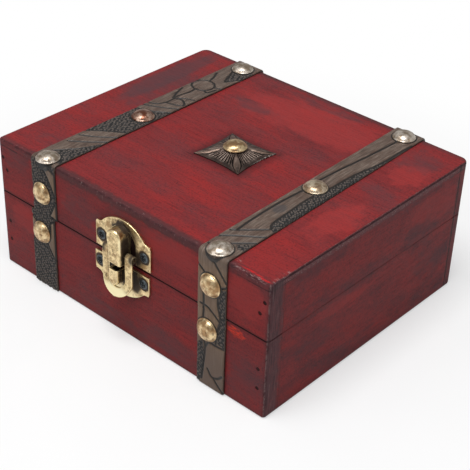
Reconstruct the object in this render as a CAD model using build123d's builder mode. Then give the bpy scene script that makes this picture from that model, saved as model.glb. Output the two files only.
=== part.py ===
# A small wooden treasure chest box: a nailed board base and a hinged lid, two tooled
# leather straps with domed tacks, a fluted centre ornament and a pressed brass hasp latch.
# Millimetres. X runs along the front, the front faces -Y, and Z is up. The origin is the
# centre of the underside.

import os
from math import radians, tan

from build123d import *

os.makedirs("parts", exist_ok=True)

# The box
box_width = 160.0
box_depth = 134.0
base_height = 39.0
lid_height = 27.0
seam_gap = 0.15
board_thickness = 8.5
top_panel_thickness = 3.0
bottom_panel_thickness = 3.0
front_corner_radius = 1.6
back_corner_radius = 4.0
edge_radius = 1.2
seam_chamfer = 0.3

# One overrun for every cut, and the radial clearances of the fits
overrun = 1.0
shank_clearance = 0.05
running_clearance = 0.05

# Frame nails: two at each end of every long board. A place is a share of the board's
# thickness from its end, and then a share of its height.
nail_length = 19.0
nail_shank_radius = 0.6
nail_head_radius = 0.9
nail_head_thickness = 0.5
nail_recess = 0.15
base_nail_shares = ((0.5, 0.36), (0.5, 0.61))
lid_nail_shares = ((0.56, 0.44), (0.3, 0.66))

# Leather straps, placed by the distance of their middle line from the nearer side of the
# box. The lid's straps lie a little askew, so they have one distance in front and one behind.
strap_width = 15.0
strap_thickness = 1.1
left_strap_front_inset = 30.8
left_strap_back_inset = 31.0
right_strap_front_inset = 29.0
right_strap_back_inset = 32.0
left_base_strap_inset = 29.0
right_base_strap_inset = 28.8
strap_foot_margin = 0.6

# Domed tacks. A place is a share of the strap's width from the strap's middle line, and
# then a share of the half depth on top, or of the board's height in front.
tack_radius = 5.4
tack_height = 2.8
tack_shank_radius = 0.75
tack_shank_length = 8.0
tack_point_share = 0.3
panel_tack_tip_margin = 0.4
left_edge_tack_shares = ((0.02, -0.966), (0.04, 0.894))
right_edge_tack_shares = ((0.0, -0.948), (0.03, 0.907))
left_middle_tack_shares = ((0.11, -0.139),)
right_middle_tack_shares = ((-0.09, -0.031),)
left_lid_tack_share = (-0.06, 0.42)
right_lid_tack_share = (-0.035, 0.485)
left_base_tack_share = (-0.04, 0.756)
right_base_tack_share = (-0.13, 0.756)

# The fluted ornament on the lid: a concave-sided square pyramid
ornament_x = 4.0
ornament_y = -3.4
ornament_width = 26.0
ornament_depth = 25.0
ornament_height = 3.6
ornament_hub_radius = 4.2
ornament_rim_thickness = 1.0
ornament_side_sag = 1.1
flutes_per_side = 10
flute_depth = 0.55
flute_hub_share = 0.6

# Latch plates on the front; the lower one sits a little to the left of the upper one
latch_x = 0.6
lower_plate_shift = -0.9
latch_plate_thickness = 1.0
latch_half_width = 16.25
latch_arch_half_span = 12.8
latch_tip_inset = 0.5
latch_tip_size = 1.1
latch_arch_step = 0.5
upper_plate_margin = 1.65
upper_plate_height = 18.7
upper_ear_height = 12.2
lower_plate_margin = 1.6
lower_plate_height = 15.6
lower_ear_height = 9.6
latch_opening_radius = 7.8
latch_opening_height = 15.2

# Pressed bosses of the latch: the loop that carries the hasp, and the catch under it.
# Each goes from an open mouth to a round end, and the loop is wider and prouder at its end.
boss_wall = 0.9
loop_mouth_width = 6.9
loop_end_width = 8.2
loop_mouth_reach = 6.2
loop_end_reach = 7.0
loop_rim_radius = 1.1
loop_foot_margin = 0.75
catch_width = 5.4
catch_reach = 6.3
catch_top_margin = 2.2
catch_height = 7.8
catch_rim_radius = 0.8

# The hasp: two arms on a pin, joined by a round tongue that flares outwards
hasp_thickness = 0.9
hasp_pivot_rise = 5.25
hasp_plate_gap = 0.25
hasp_radius = 8.85
hasp_loop_gap = 0.5
hasp_catch_gap = 0.8
hasp_tongue_height = 4.05
hasp_bend_rise = 2.5
hasp_bend_radius = 2.5
hasp_flare_angle = 17.0
hasp_pin_radius = 0.7
hasp_pin_overhang = 0.25

# Latch screws
upper_screw_spread = 12.6
lower_screw_spread = 13.0
upper_screw_rise = 5.9
lower_screw_drop = 4.2
latch_screw_head_radius = 2.3
latch_screw_head_height = 0.9
latch_screw_shank_radius = 1.0
latch_screw_length = 7.0

# Butt hinges on the back, each beside a strap
hinge_strap_gap = 1.0
hinge_width = 25.0
hinge_leaf_height = 11.0
hinge_leaf_thickness = 0.9
hinge_leaf_radius = 1.5
hinge_knuckle_radius = 2.0
hinge_board_gap = 0.15
hinge_pin_radius = 0.85
hinge_pin_overhang = 0.4
hinge_knuckle_count = 5
hinge_knuckle_gap = 0.2
hinge_notch_gap = 0.3
hinge_screw_spread = 7.5
hinge_screw_rise = 7.0
hinge_screw_head_radius = 1.7
hinge_screw_head_height = 0.6
hinge_screw_shank_radius = 0.8
hinge_screw_length = 6.0

# Upright rim of a domed head, and cross recess of a screw, as shares of the head
head_rim_share = 0.15
recess_length_share = 1.1
recess_width_share = 0.2
recess_depth_share = 0.6
screw_point_share = 0.25

# Worked out from the sizes above
half_width = box_width / 2
half_depth = box_depth / 2
inner_width = box_width - 2 * board_thickness
inner_depth = box_depth - 2 * board_thickness
lid_bottom = base_height + seam_gap
lid_top = base_height + lid_height
lid_board_top = lid_top - top_panel_thickness
seam_level = base_height + seam_gap / 2
side_board_x = half_width - board_thickness / 2
tack_hole_depth = tack_shank_length - strap_thickness + shank_clearance
edge_tack_hole_depth = tack_hole_depth - top_panel_thickness
panel_tack_length = strap_thickness + top_panel_thickness - panel_tack_tip_margin
ornament_tack_length = ornament_height + top_panel_thickness - panel_tack_tip_margin
strap_top = lid_top + strap_thickness
left_strap_places = (left_strap_front_inset - half_width, left_strap_back_inset - half_width)
right_strap_places = (half_width - right_strap_front_inset, half_width - right_strap_back_inset)
left_base_strap_place = left_base_strap_inset - half_width
right_base_strap_place = half_width - right_base_strap_inset
catch_x = latch_x + lower_plate_shift
upper_plate_foot = lid_bottom + upper_plate_margin
lower_plate_top = base_height - lower_plate_margin
catch_mouth = base_height - catch_top_margin
catch_end = catch_mouth - catch_height
hasp_curl_radius = hasp_pin_radius + running_clearance + hasp_thickness
hasp_pivot_height = lid_bottom + hasp_pivot_rise
hasp_axis_y = -half_depth - latch_plate_thickness - hasp_plate_gap - hasp_curl_radius
upper_screw_height = upper_plate_foot + upper_screw_rise
lower_screw_height = lower_plate_top - lower_screw_drop
hinge_axis_y = half_depth + hinge_board_gap + hinge_knuckle_radius
rear_strap_inset = max(left_strap_back_inset, right_strap_back_inset)
rear_strap_edge = half_width - rear_strap_inset - strap_width / 2
hinge_spread = rear_strap_edge - hinge_strap_gap - hinge_width / 2
knuckle_pitch = hinge_width / hinge_knuckle_count

# Working planes. On the front and back, Z is the plane's own Y. The latch's upper plate and
# the catch's plate each have one with its middle at zero.
front_plane = Plane(origin=(0, -half_depth, 0), x_dir=(1, 0, 0), z_dir=(0, -1, 0))
back_plane = Plane(origin=(0, half_depth, 0), x_dir=(-1, 0, 0), z_dir=(0, 1, 0))
latch_plane = Plane(origin=(latch_x, -half_depth, 0), x_dir=(1, 0, 0), z_dir=(0, -1, 0))
catch_plane = Plane(origin=(catch_x, -half_depth, 0), x_dir=(1, 0, 0), z_dir=(0, -1, 0))


def keep(part, name):
    """Label a finished piece and write it."""
    part.label = name
    export_step(part, f"parts/{name}.step")


def strap_middle(places, y):
    """Where a lid strap's middle line is at one depth, from its places in front and behind."""
    front, back = places
    return front + (back - front) * (y + half_depth) / box_depth


def strap_points(places, shares):
    """Places on a lid strap from pairs of shares: of its width, and of the half depth."""
    points = []
    for across, along in shares:
        y = along * half_depth
        points.append((strap_middle(places, y) + across * strap_width, y))
    return points


def front_points(middle, share, floor, height):
    """One place on a strap's front run, as a list."""
    across, up = share
    return [(middle + across * strap_width, floor + up * height)]


def nail_points(shares, floor, height):
    """The frame nails' places at both ends of a long board."""
    points = []
    for side in (-1, 1):
        for inset, up in shares:
            points.append((side * (half_width - inset * board_thickness), floor + up * height))
    return points


left_front_place, left_back_place = left_strap_places
right_front_place, right_back_place = right_strap_places
top_edge_tacks = strap_points(left_strap_places, left_edge_tack_shares)
top_edge_tacks += strap_points(right_strap_places, right_edge_tack_shares)
top_middle_tacks = strap_points(left_strap_places, left_middle_tack_shares)
top_middle_tacks += strap_points(right_strap_places, right_middle_tack_shares)
top_tacks = top_edge_tacks + top_middle_tacks
lid_front_tacks = front_points(left_front_place, left_lid_tack_share, base_height, lid_height)
lid_front_tacks += front_points(right_front_place, right_lid_tack_share, base_height, lid_height)
base_front_tacks = front_points(left_base_strap_place, left_base_tack_share, 0, base_height)
base_front_tacks += front_points(right_base_strap_place, right_base_tack_share, 0, base_height)
base_nails = nail_points(base_nail_shares, 0, base_height)
lid_nails = nail_points(lid_nail_shares, base_height, lid_height)
upper_latch_screws = [(side * upper_screw_spread, upper_screw_height) for side in (-1, 1)]
lower_latch_screws = [(side * lower_screw_spread, lower_screw_height) for side in (-1, 1)]
hinge_places = [-hinge_spread, hinge_spread]
hinge_screw_columns = [
    place + side * hinge_screw_spread for place in hinge_places for side in (-1, 1)
]
lid_hinge_screws = [(x, seam_level + hinge_screw_rise) for x in hinge_screw_columns]
base_hinge_screws = [(x, seam_level - hinge_screw_rise) for x in hinge_screw_columns]


def bore(plane, places, radius, depth):
    """Round holes into the part from a plane, at places given on that plane."""
    with BuildSketch(plane) as holes:
        with Locations(*places):
            Circle(radius)
    extrude(holes.sketch, amount=-depth, mode=Mode.SUBTRACT)


# Fasteners


def domed_nail(head_radius, head_height, shank_radius, shank_length, point_share):
    """A domed head with a low upright rim, seated at z = 0 on a pointed shank."""
    rim_height = head_rim_share * head_height
    with BuildPart() as nail:
        with BuildSketch(Plane.XZ):
            with BuildLine():
                dome = TangentArc((0, head_height), (head_radius, rim_height), tangent=(1, 0))
                Polyline(
                    dome @ 1,
                    (head_radius, 0),
                    (shank_radius, 0),
                    (shank_radius, -shank_length * (1 - point_share)),
                    (0, -shank_length),
                    dome @ 0,
                )
            make_face()
        revolve(axis=Axis.Z)
    return nail.part


def cross_screw(head_radius, head_height, shank_radius, shank_length):
    """A round-head wood screw with a cross recess, seated at z = 0."""
    recess_length = recess_length_share * head_radius
    recess_width = recess_width_share * head_radius
    recess_depth = recess_depth_share * head_height
    with BuildPart() as screw:
        add(domed_nail(head_radius, head_height, shank_radius, shank_length, screw_point_share))
        with Locations((0, 0, head_height)):
            Box(recess_length, recess_width, 2 * recess_depth, mode=Mode.SUBTRACT)
            Box(recess_width, recess_length, 2 * recess_depth, mode=Mode.SUBTRACT)
    return screw.part


def frame_nail():
    """A flat-headed nail, sunk below the board's face at z = 0."""
    with BuildPart() as nail:
        with BuildSketch(Plane.XY.offset(-nail_recess)):
            Circle(nail_head_radius)
        extrude(amount=-nail_head_thickness)
        with BuildSketch(Plane.XY.offset(-nail_recess)):
            Circle(nail_shank_radius)
        extrude(amount=-nail_length)
    return nail.part


def fastener_group(name, piece, *rows):
    """Copies of one fastener. Each row is a plane and the places on it."""
    with BuildPart() as group:
        for plane, places in rows:
            with Locations(plane):
                with Locations(*places):
                    add(piece)
    keep(group.part, name)


# Boards


def nail_holes(plane, places):
    """Seats for the frame nails through a long board."""
    bore(plane, places, nail_shank_radius + shank_clearance, board_thickness + overrun)
    bore(
        plane,
        places,
        nail_head_radius + shank_clearance,
        nail_recess + nail_head_thickness,
    )


def long_board(floor, top, side):
    """A board across the whole width: side is -1 for the front and 1 for the back."""
    with BuildPart() as board:
        with BuildSketch(Plane.XY.offset(floor)):
            with Locations((0, side * (half_depth - board_thickness / 2))):
                outline = Rectangle(box_width, board_thickness)
            corners = outline.vertices().sort_by(Axis.Y)
            if side < 0:
                fillet(corners[:2], front_corner_radius)
            else:
                fillet(corners[2:], back_corner_radius)
        extrude(amount=top - floor)
    return board


def outer_edges(board, side, level):
    """A long board's edges at its foot (0) or top (-1), without the inner one."""
    edges = board.edges().group_by(Axis.Z)[level].sort_by(Axis.Y, reverse=side > 0)
    return edges[:-1]


def base_long_board(name, side, plane, strap_tacks, screws, shank_radius, screw_depth):
    """The base's front or back board with its holes."""
    shaped = long_board(0, base_height, side)
    with BuildPart() as board:
        add(shaped.part)
        chamfer(outer_edges(board, side, -1), seam_chamfer)
        fillet(outer_edges(board, side, 0), edge_radius)
        nail_holes(plane, base_nails)
        bore(plane, screws, shank_radius + shank_clearance, screw_depth)
        if strap_tacks:
            bore(plane, strap_tacks, tack_shank_radius + shank_clearance, tack_hole_depth)
    keep(board.part, name)


def lid_long_board(name, side, plane, strap_tacks, screws, shank_radius, screw_depth):
    """The lid's front or back board with its holes, and those of the tacks above it."""
    shaped = long_board(lid_bottom, lid_board_top, side)
    edge_tacks = [place for place in top_edge_tacks if place[1] * side > 0]
    with BuildPart() as board:
        add(shaped.part)
        chamfer(outer_edges(board, side, 0), seam_chamfer)
        nail_holes(plane, lid_nails)
        bore(plane, screws, shank_radius + shank_clearance, screw_depth)
        bore(
            Plane.XY.offset(lid_board_top),
            edge_tacks,
            tack_shank_radius + shank_clearance,
            edge_tack_hole_depth,
        )
        if strap_tacks:
            bore(plane, strap_tacks, tack_shank_radius + shank_clearance, tack_hole_depth)
    keep(board.part, name)


def side_board(name, side, floor, top, nails, round_foot):
    """A short board between the long ones: side is -1 for the left and 1 for the right."""
    with BuildPart() as board:
        with BuildSketch(Plane.XY.offset(floor)):
            with Locations((side * side_board_x, 0)):
                Rectangle(board_thickness, inner_depth)
        extrude(amount=top - floor)
        if round_foot:
            foot = board.edges().group_by(Axis.Z)[0].filter_by(Axis.Y)
            fillet(foot.sort_by(Axis.X)[-1 if side > 0 else 0], edge_radius)
        own_nails = [place for place in nails if place[0] * side > 0]
        mirrored_nails = [(-x, z) for x, z in own_nails]
        hole_radius = nail_shank_radius + shank_clearance
        hole_depth = nail_recess + nail_length + shank_clearance
        bore(front_plane, own_nails, hole_radius, hole_depth)
        bore(back_plane, mirrored_nails, hole_radius, hole_depth)
    keep(board.part, name)


latch_screw_depth = latch_screw_length - latch_plate_thickness + shank_clearance
hinge_screw_depth = hinge_screw_length - hinge_leaf_thickness + shank_clearance

base_long_board(
    "base_front_board",
    -1,
    front_plane,
    base_front_tacks,
    [(catch_x + x, z) for x, z in lower_latch_screws],
    latch_screw_shank_radius,
    latch_screw_depth,
)
base_long_board(
    "base_back_board",
    1,
    back_plane,
    [],
    base_hinge_screws,
    hinge_screw_shank_radius,
    hinge_screw_depth,
)
side_board("base_left_board", -1, 0, base_height, base_nails, True)
side_board("base_right_board", 1, 0, base_height, base_nails, True)

with BuildPart() as bottom_panel:
    with BuildSketch():
        Rectangle(inner_width, inner_depth)
    extrude(amount=bottom_panel_thickness)
keep(bottom_panel.part, "base_bottom_panel")

lid_long_board(
    "lid_front_board",
    -1,
    front_plane,
    lid_front_tacks,
    [(latch_x + x, z) for x, z in upper_latch_screws],
    latch_screw_shank_radius,
    latch_screw_depth,
)
lid_long_board(
    "lid_back_board",
    1,
    back_plane,
    [],
    lid_hinge_screws,
    hinge_screw_shank_radius,
    hinge_screw_depth,
)
side_board("lid_left_board", -1, lid_bottom, lid_board_top, lid_nails, False)
side_board("lid_right_board", 1, lid_bottom, lid_board_top, lid_nails, False)

with BuildPart() as top_panel:
    with BuildSketch(Plane.XY.offset(lid_board_top)) as top_outline:
        Rectangle(box_width, box_depth)
        fillet(top_outline.vertices().group_by(Axis.Y)[0], front_corner_radius)
        fillet(top_outline.vertices().group_by(Axis.Y)[-1], back_corner_radius)
    extrude(amount=top_panel_thickness)
    fillet(top_panel.edges().group_by(Axis.Z)[-1], edge_radius)
    lid_plane = Plane.XY.offset(lid_top)
    panel_hole_radius = tack_shank_radius + shank_clearance
    bore(lid_plane, top_tacks, panel_hole_radius, top_panel_thickness + overrun)
    bore(lid_plane, [(ornament_x, ornament_y)], panel_hole_radius, top_panel_thickness)
keep(top_panel.part, "lid_top_panel")

nail = frame_nail()
fastener_group("base_nails", nail, (front_plane, base_nails), (back_plane, base_nails))
fastener_group("lid_nails", nail, (front_plane, lid_nails), (back_plane, lid_nails))


# Straps


def lid_strap(name, places, tacks_on_top, tacks_in_front):
    """One strap from the seam up the front, over the lid and down the back to the seam."""
    inner_half = half_depth
    outer_half = half_depth + strap_thickness
    front = strap_middle(places, -outer_half)
    back = strap_middle(places, outer_half)
    blank_width = max(places) - min(places) + strap_width + 2 * overrun
    with BuildPart() as strap:
        with BuildSketch(Plane.YZ.offset(min(places) - strap_width / 2 - overrun)):
            with BuildLine():
                inner = FilletPolyline(
                    (-inner_half, lid_bottom),
                    (-inner_half, lid_top),
                    (inner_half, lid_top),
                    (inner_half, lid_bottom),
                    radius=edge_radius,
                )
                outer = FilletPolyline(
                    (-outer_half, lid_bottom),
                    (-outer_half, strap_top),
                    (outer_half, strap_top),
                    (outer_half, lid_bottom),
                    radius=edge_radius + strap_thickness,
                )
                Line(inner @ 0, outer @ 0)
                Line(inner @ 1, outer @ 1)
            make_face()
        extrude(amount=blank_width)
        with BuildSketch():
            with BuildLine():
                Polyline(
                    (front - strap_width / 2, -outer_half),
                    (front + strap_width / 2, -outer_half),
                    (back + strap_width / 2, outer_half),
                    (back - strap_width / 2, outer_half),
                    close=True,
                )
            make_face()
        extrude(amount=strap_top, mode=Mode.INTERSECT)
        hole_radius = tack_shank_radius + shank_clearance
        bore(Plane.XY.offset(strap_top), tacks_on_top, hole_radius, strap_thickness + overrun)
        bore(
            front_plane.offset(strap_thickness),
            tacks_in_front,
            hole_radius,
            strap_thickness + overrun,
        )
    keep(strap.part, name)


def base_strap(name, middle, plane, tacks):
    """A flat run of strap from the seam to just above the foot."""
    run = base_height - strap_foot_margin
    with BuildPart() as strap:
        with BuildSketch(plane):
            with Locations((middle, strap_foot_margin + run / 2)):
                Rectangle(strap_width, run)
        extrude(amount=strap_thickness)
        if tacks:
            bore(
                plane.offset(strap_thickness),
                tacks,
                tack_shank_radius + shank_clearance,
                strap_thickness + overrun,
            )
    keep(strap.part, name)


left_top_tacks = [place for place in top_tacks if place[0] < 0]
right_top_tacks = [place for place in top_tacks if place[0] > 0]
lid_strap("lid_left_strap", left_strap_places, left_top_tacks, lid_front_tacks[:1])
lid_strap("lid_right_strap", right_strap_places, right_top_tacks, lid_front_tacks[1:])
base_strap("base_front_left_strap", left_base_strap_place, front_plane, base_front_tacks[:1])
base_strap("base_front_right_strap", right_base_strap_place, front_plane, base_front_tacks[1:])
base_strap("base_rear_left_strap", -left_back_place, back_plane, [])
base_strap("base_rear_right_strap", -right_back_place, back_plane, [])

# Tacks: long ones over the boards, short ones where only the thin panel is below

long_tack = domed_nail(
    tack_radius, tack_height, tack_shank_radius, tack_shank_length, tack_point_share
)
short_tack = domed_nail(
    tack_radius, tack_height, tack_shank_radius, panel_tack_length, tack_point_share
)
ornament_tack = domed_nail(
    tack_radius, tack_height, tack_shank_radius, ornament_tack_length, tack_point_share
)
strap_top_plane = Plane.XY.offset(strap_top)
strap_front_plane = front_plane.offset(strap_thickness)
fastener_group("lid_edge_tacks", long_tack, (strap_top_plane, top_edge_tacks))
fastener_group("lid_middle_tacks", short_tack, (strap_top_plane, top_middle_tacks))
fastener_group("lid_front_tacks", long_tack, (strap_front_plane, lid_front_tacks))
fastener_group("base_front_tacks", long_tack, (strap_front_plane, base_front_tacks))

# The fluted ornament: ridges and furrows fan out from the hub to the concave sides


def ornament_rim():
    """The rim's points in order, each with its height: ridges and furrows take turns."""
    corners = [(1, 1), (-1, 1), (-1, -1), (1, -1)]
    steps = 2 * flutes_per_side
    points = []
    for side, (start_x, start_y) in enumerate(corners):
        end_x, end_y = corners[(side + 1) % len(corners)]
        for step in range(steps):
            share = step / steps
            sag = 4 * share * (1 - share) * ornament_side_sag
            x = (start_x + (end_x - start_x) * share) * ornament_width / 2
            y = (start_y + (end_y - start_y) * share) * ornament_depth / 2
            x -= sag * (start_x + end_x) / 2
            y -= sag * (start_y + end_y) / 2
            furrow = step % 2 * flute_depth
            points.append(Vector(x, y, ornament_rim_thickness - furrow))
    return points


def ornament_facets():
    """The faces of the closed plate, standing on z = 0 about its own middle."""
    rim = ornament_rim()
    count = len(rim)
    hub = []
    for step, point in enumerate(rim):
        reach = ornament_hub_radius / Vector(point.X, point.Y).length
        drop = step % 2 * flute_depth * flute_hub_share
        hub.append(Vector(point.X * reach, point.Y * reach, ornament_height - drop))
    feet = [Vector(point.X, point.Y) for point in rim]
    crown = Vector(0, 0, ornament_height)
    outlines = [feet]
    for step in range(count):
        after = (step + 1) % count
        outlines.append([feet[step], feet[after], rim[after], rim[step]])
        outlines.append([rim[step], rim[after], hub[after]])
        outlines.append([rim[step], hub[after], hub[step]])
        outlines.append([hub[step], hub[after], crown])
    return [Face(Wire.make_polygon(outline)) for outline in outlines]


ornament_shape = Solid(Shell(ornament_facets()))
with BuildPart() as ornament:
    with Locations((ornament_x, ornament_y, lid_top)):
        add(ornament_shape)
    bore(
        Plane.XY.offset(lid_top + ornament_height),
        [(ornament_x, ornament_y)],
        tack_shank_radius + shank_clearance,
        ornament_height + overrun,
    )
keep(ornament.part, "top_ornament_plate")
ornament_seat = Plane.XY.offset(lid_top + ornament_height)
fastener_group("ornament_tack", ornament_tack, (ornament_seat, [(ornament_x, ornament_y)]))

# Latch plates: ears with small raised tips, and a flat arch between them


def latch_outline(foot, up, height, ear_height):
    """A latch plate's outline; up is 1 for the lid's plate and -1 for the base's."""
    ear = foot + up * ear_height
    tip = latch_half_width - latch_tip_inset
    arch_foot = ear + up * latch_arch_step
    dip = (tip + latch_arch_half_span) / 2
    with BuildLine() as outline:
        Polyline(
            (-tip, ear),
            (-latch_half_width, ear - up * latch_tip_size),
            (-latch_half_width, foot),
            (latch_half_width, foot),
            (latch_half_width, ear - up * latch_tip_size),
            (tip, ear),
        )
        ThreePointArc((tip, ear), (dip, ear), (latch_arch_half_span, arch_foot))
        ThreePointArc(
            (latch_arch_half_span, arch_foot),
            (0, foot + up * height),
            (-latch_arch_half_span, arch_foot),
        )
        ThreePointArc((-latch_arch_half_span, arch_foot), (-dip, ear), (-tip, ear))
    make_face(outline.edges())


def tongue_outline(mouth_width, end_width, mouth, end, up, mode=Mode.ADD):
    """A tapered tongue from a straight mouth to a round end; up is the way between them."""
    with BuildLine() as outline:
        Line((-mouth_width / 2, mouth), (mouth_width / 2, mouth))
        CenterArc((0, end - up * end_width / 2), end_width / 2, 0, 360)
    make_hull(outline.edges(), mode=mode)


def boss_body(plane, widths, heights, reaches, up):
    """The solid of a boss. Each pair gives the value at the mouth and at the round end."""
    widest = max(widths)
    with BuildPart() as body:
        with BuildSketch(Plane.YZ.offset(plane.origin.X - widest / 2)):
            with BuildLine():
                Polyline(
                    (-half_depth, heights[0]),
                    (-half_depth - reaches[0], heights[0]),
                    (-half_depth - reaches[1], heights[1]),
                    (-half_depth, heights[1]),
                    close=True,
                )
            make_face()
        extrude(amount=widest)
        with BuildSketch(plane):
            tongue_outline(*widths, *heights, up)
        extrude(amount=max(reaches), mode=Mode.INTERSECT)
    return body.part


def pressed_boss(plane, widths, heights, reaches, up, rim_radius):
    """A hollow boss pressed out of its plate, open at its mouth and towards the wood."""
    body = boss_body(plane, widths, heights, reaches, up)
    inner_widths = [width - 2 * boss_wall for width in widths]
    inner_heights = [heights[0] - up * overrun, heights[1] - up * boss_wall]
    inner_reaches = [reach - boss_wall for reach in reaches]
    hollow = boss_body(plane, inner_widths, inner_heights, inner_reaches, up)
    with BuildPart() as boss:
        add(body)
        rim = boss.faces().sort_by(Axis.Y)[0].edges().sort_by(Axis.Z, reverse=up < 0)
        fillet(rim[1:], rim_radius)
        add(hollow, mode=Mode.SUBTRACT)
    return boss.part


upper_screw_plane = latch_plane.offset(latch_plate_thickness)
lower_screw_plane = catch_plane.offset(latch_plate_thickness)
latch_screw_hole = latch_screw_shank_radius + shank_clearance
opening_width = 2 * latch_opening_radius
opening_foot = upper_plate_foot - overrun
opening_top = upper_plate_foot + latch_opening_height
loop_widths = (loop_mouth_width, loop_end_width)
loop_heights = (lid_bottom + loop_foot_margin, opening_top + boss_wall)
loop_reaches = (loop_mouth_reach, loop_end_reach)

loop = pressed_boss(latch_plane, loop_widths, loop_heights, loop_reaches, 1, loop_rim_radius)
with BuildPart() as upper_plate:
    with BuildSketch(latch_plane):
        latch_outline(upper_plate_foot, 1, upper_plate_height, upper_ear_height)
        tongue_outline(opening_width, opening_width, opening_foot, opening_top, 1, Mode.SUBTRACT)
    extrude(amount=latch_plate_thickness)
    add(loop)
    bore(upper_screw_plane, upper_latch_screws, latch_screw_hole, latch_plate_thickness)
    with BuildSketch(Plane.YZ.offset(latch_x - loop_end_width / 2)):
        with Locations((hasp_axis_y, hasp_pivot_height)):
            Circle(hasp_pin_radius + shank_clearance)
    extrude(amount=loop_end_width, mode=Mode.SUBTRACT)
keep(upper_plate.part, "latch_upper_plate")

catch = pressed_boss(
    catch_plane,
    (catch_width, catch_width),
    (catch_mouth, catch_end),
    (catch_reach, catch_reach),
    -1,
    catch_rim_radius,
)
with BuildPart() as lower_plate:
    with BuildSketch(catch_plane):
        latch_outline(lower_plate_top, -1, lower_plate_height, lower_ear_height)
        pocket_width = catch_width - 2 * boss_wall
        pocket_end = catch_end + boss_wall
        tongue_outline(pocket_width, pocket_width, catch_mouth, pocket_end, -1, Mode.SUBTRACT)
    extrude(amount=latch_plate_thickness)
    add(catch)
    bore(lower_screw_plane, lower_latch_screws, latch_screw_hole, latch_plate_thickness)
keep(lower_plate.part, "latch_lower_plate")

latch_screw = cross_screw(
    latch_screw_head_radius,
    latch_screw_head_height,
    latch_screw_shank_radius,
    latch_screw_length,
)
fastener_group("latch_upper_screws", latch_screw, (upper_screw_plane, upper_latch_screws))
fastener_group("latch_lower_screws", latch_screw, (lower_screw_plane, lower_latch_screws))

# The hasp: a bent strip with a curl on the pin, trimmed to two arms and a round tongue

arm_y = hasp_axis_y - hasp_curl_radius + hasp_thickness / 2
window_width = loop_end_width + 2 * hasp_loop_gap
window_foot = catch_end - hasp_catch_gap
tongue_foot = window_foot - hasp_tongue_height
hasp_bend_height = catch_end + hasp_bend_rise
tongue_drop = hasp_bend_height - tongue_foot + overrun
tongue_flare = tongue_drop * tan(radians(hasp_flare_angle))
hasp_top = hasp_pivot_height + hasp_curl_radius
hasp_depth = -half_depth - arm_y + tongue_flare + hasp_thickness + overrun

with BuildPart() as hasp:
    with BuildSketch(Plane.YZ.offset(latch_x - hasp_radius)):
        with BuildLine():
            FilletPolyline(
                (arm_y, hasp_pivot_height),
                (arm_y, hasp_bend_height),
                (arm_y - tongue_flare, hasp_bend_height - tongue_drop),
                radius=hasp_bend_radius,
            )
        trace(line_width=hasp_thickness)
        with Locations((hasp_axis_y, hasp_pivot_height)):
            Circle(hasp_curl_radius)
            Circle(hasp_pin_radius + running_clearance, mode=Mode.SUBTRACT)
    extrude(amount=2 * hasp_radius)
    with BuildSketch(latch_plane):
        tongue_outline(2 * hasp_radius, 2 * hasp_radius, hasp_top, tongue_foot, -1)
        window_top = hasp_top + overrun
        tongue_outline(window_width, window_width, window_top, window_foot, -1, Mode.SUBTRACT)
    extrude(amount=hasp_depth, mode=Mode.INTERSECT)
keep(hasp.part, "latch_hasp")

pin_half_length = hasp_radius + hasp_pin_overhang
with BuildPart() as hasp_pin:
    with BuildSketch(Plane.YZ.offset(latch_x - pin_half_length)):
        with Locations((hasp_axis_y, hasp_pivot_height)):
            Circle(hasp_pin_radius)
    extrude(amount=2 * pin_half_length)
    chamfer(hasp_pin.edges().filter_by(GeomType.CIRCLE), hasp_pin_overhang)
keep(hasp_pin.part, "latch_pin")

# Hinges: the base's leaf has the outer knuckles, and the lid's leaf those between them


def hinge_leaf(name, place, up):
    """One leaf on the back, its middle at a place there; up is 1 on the lid, -1 on the base."""
    notch = hinge_knuckle_radius + hinge_notch_gap
    plate_height = hinge_leaf_height - notch
    first = place - (hinge_width - knuckle_pitch) / 2
    start = 1 if up > 0 else 0
    middles = [first + step * knuckle_pitch for step in range(start, hinge_knuckle_count, 2)]
    knuckle_length = knuckle_pitch - hinge_knuckle_gap
    screw_level = seam_level + up * hinge_screw_rise
    screws = [(place + side * hinge_screw_spread, screw_level) for side in (-1, 1)]
    with BuildPart() as leaf:
        with BuildSketch(back_plane):
            with Locations((place, seam_level + up * (notch + plate_height / 2))):
                plate = Rectangle(hinge_width, plate_height)
            far_corners = plate.vertices().sort_by(Axis.Z, reverse=up > 0)[:2]
            fillet(far_corners, hinge_leaf_radius)
            with Locations(*[(middle, seam_level + up * notch / 2) for middle in middles]):
                Rectangle(knuckle_length, notch)
        extrude(amount=hinge_leaf_thickness)
        for middle in middles:
            with BuildSketch(Plane.YZ.offset(-middle - knuckle_length / 2)):
                with Locations((hinge_axis_y, seam_level)):
                    Circle(hinge_knuckle_radius)
            extrude(amount=knuckle_length)
        with BuildSketch(Plane.YZ.offset(-place - hinge_width / 2)):
            with Locations((hinge_axis_y, seam_level)):
                Circle(hinge_pin_radius + running_clearance)
        extrude(amount=hinge_width, mode=Mode.SUBTRACT)
        bore(
            back_plane.offset(hinge_leaf_thickness),
            screws,
            hinge_screw_shank_radius + shank_clearance,
            hinge_leaf_thickness,
        )
    keep(leaf.part, name)


def hinge_pin(name, place):
    """A hinge's pin, a little longer than its knuckles."""
    half_length = hinge_width / 2 + hinge_pin_overhang
    with BuildPart() as pin:
        with BuildSketch(Plane.YZ.offset(-place - half_length)):
            with Locations((hinge_axis_y, seam_level)):
                Circle(hinge_pin_radius)
        extrude(amount=2 * half_length)
        chamfer(pin.edges().filter_by(GeomType.CIRCLE), hinge_pin_overhang / 2)
    keep(pin.part, name)


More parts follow.
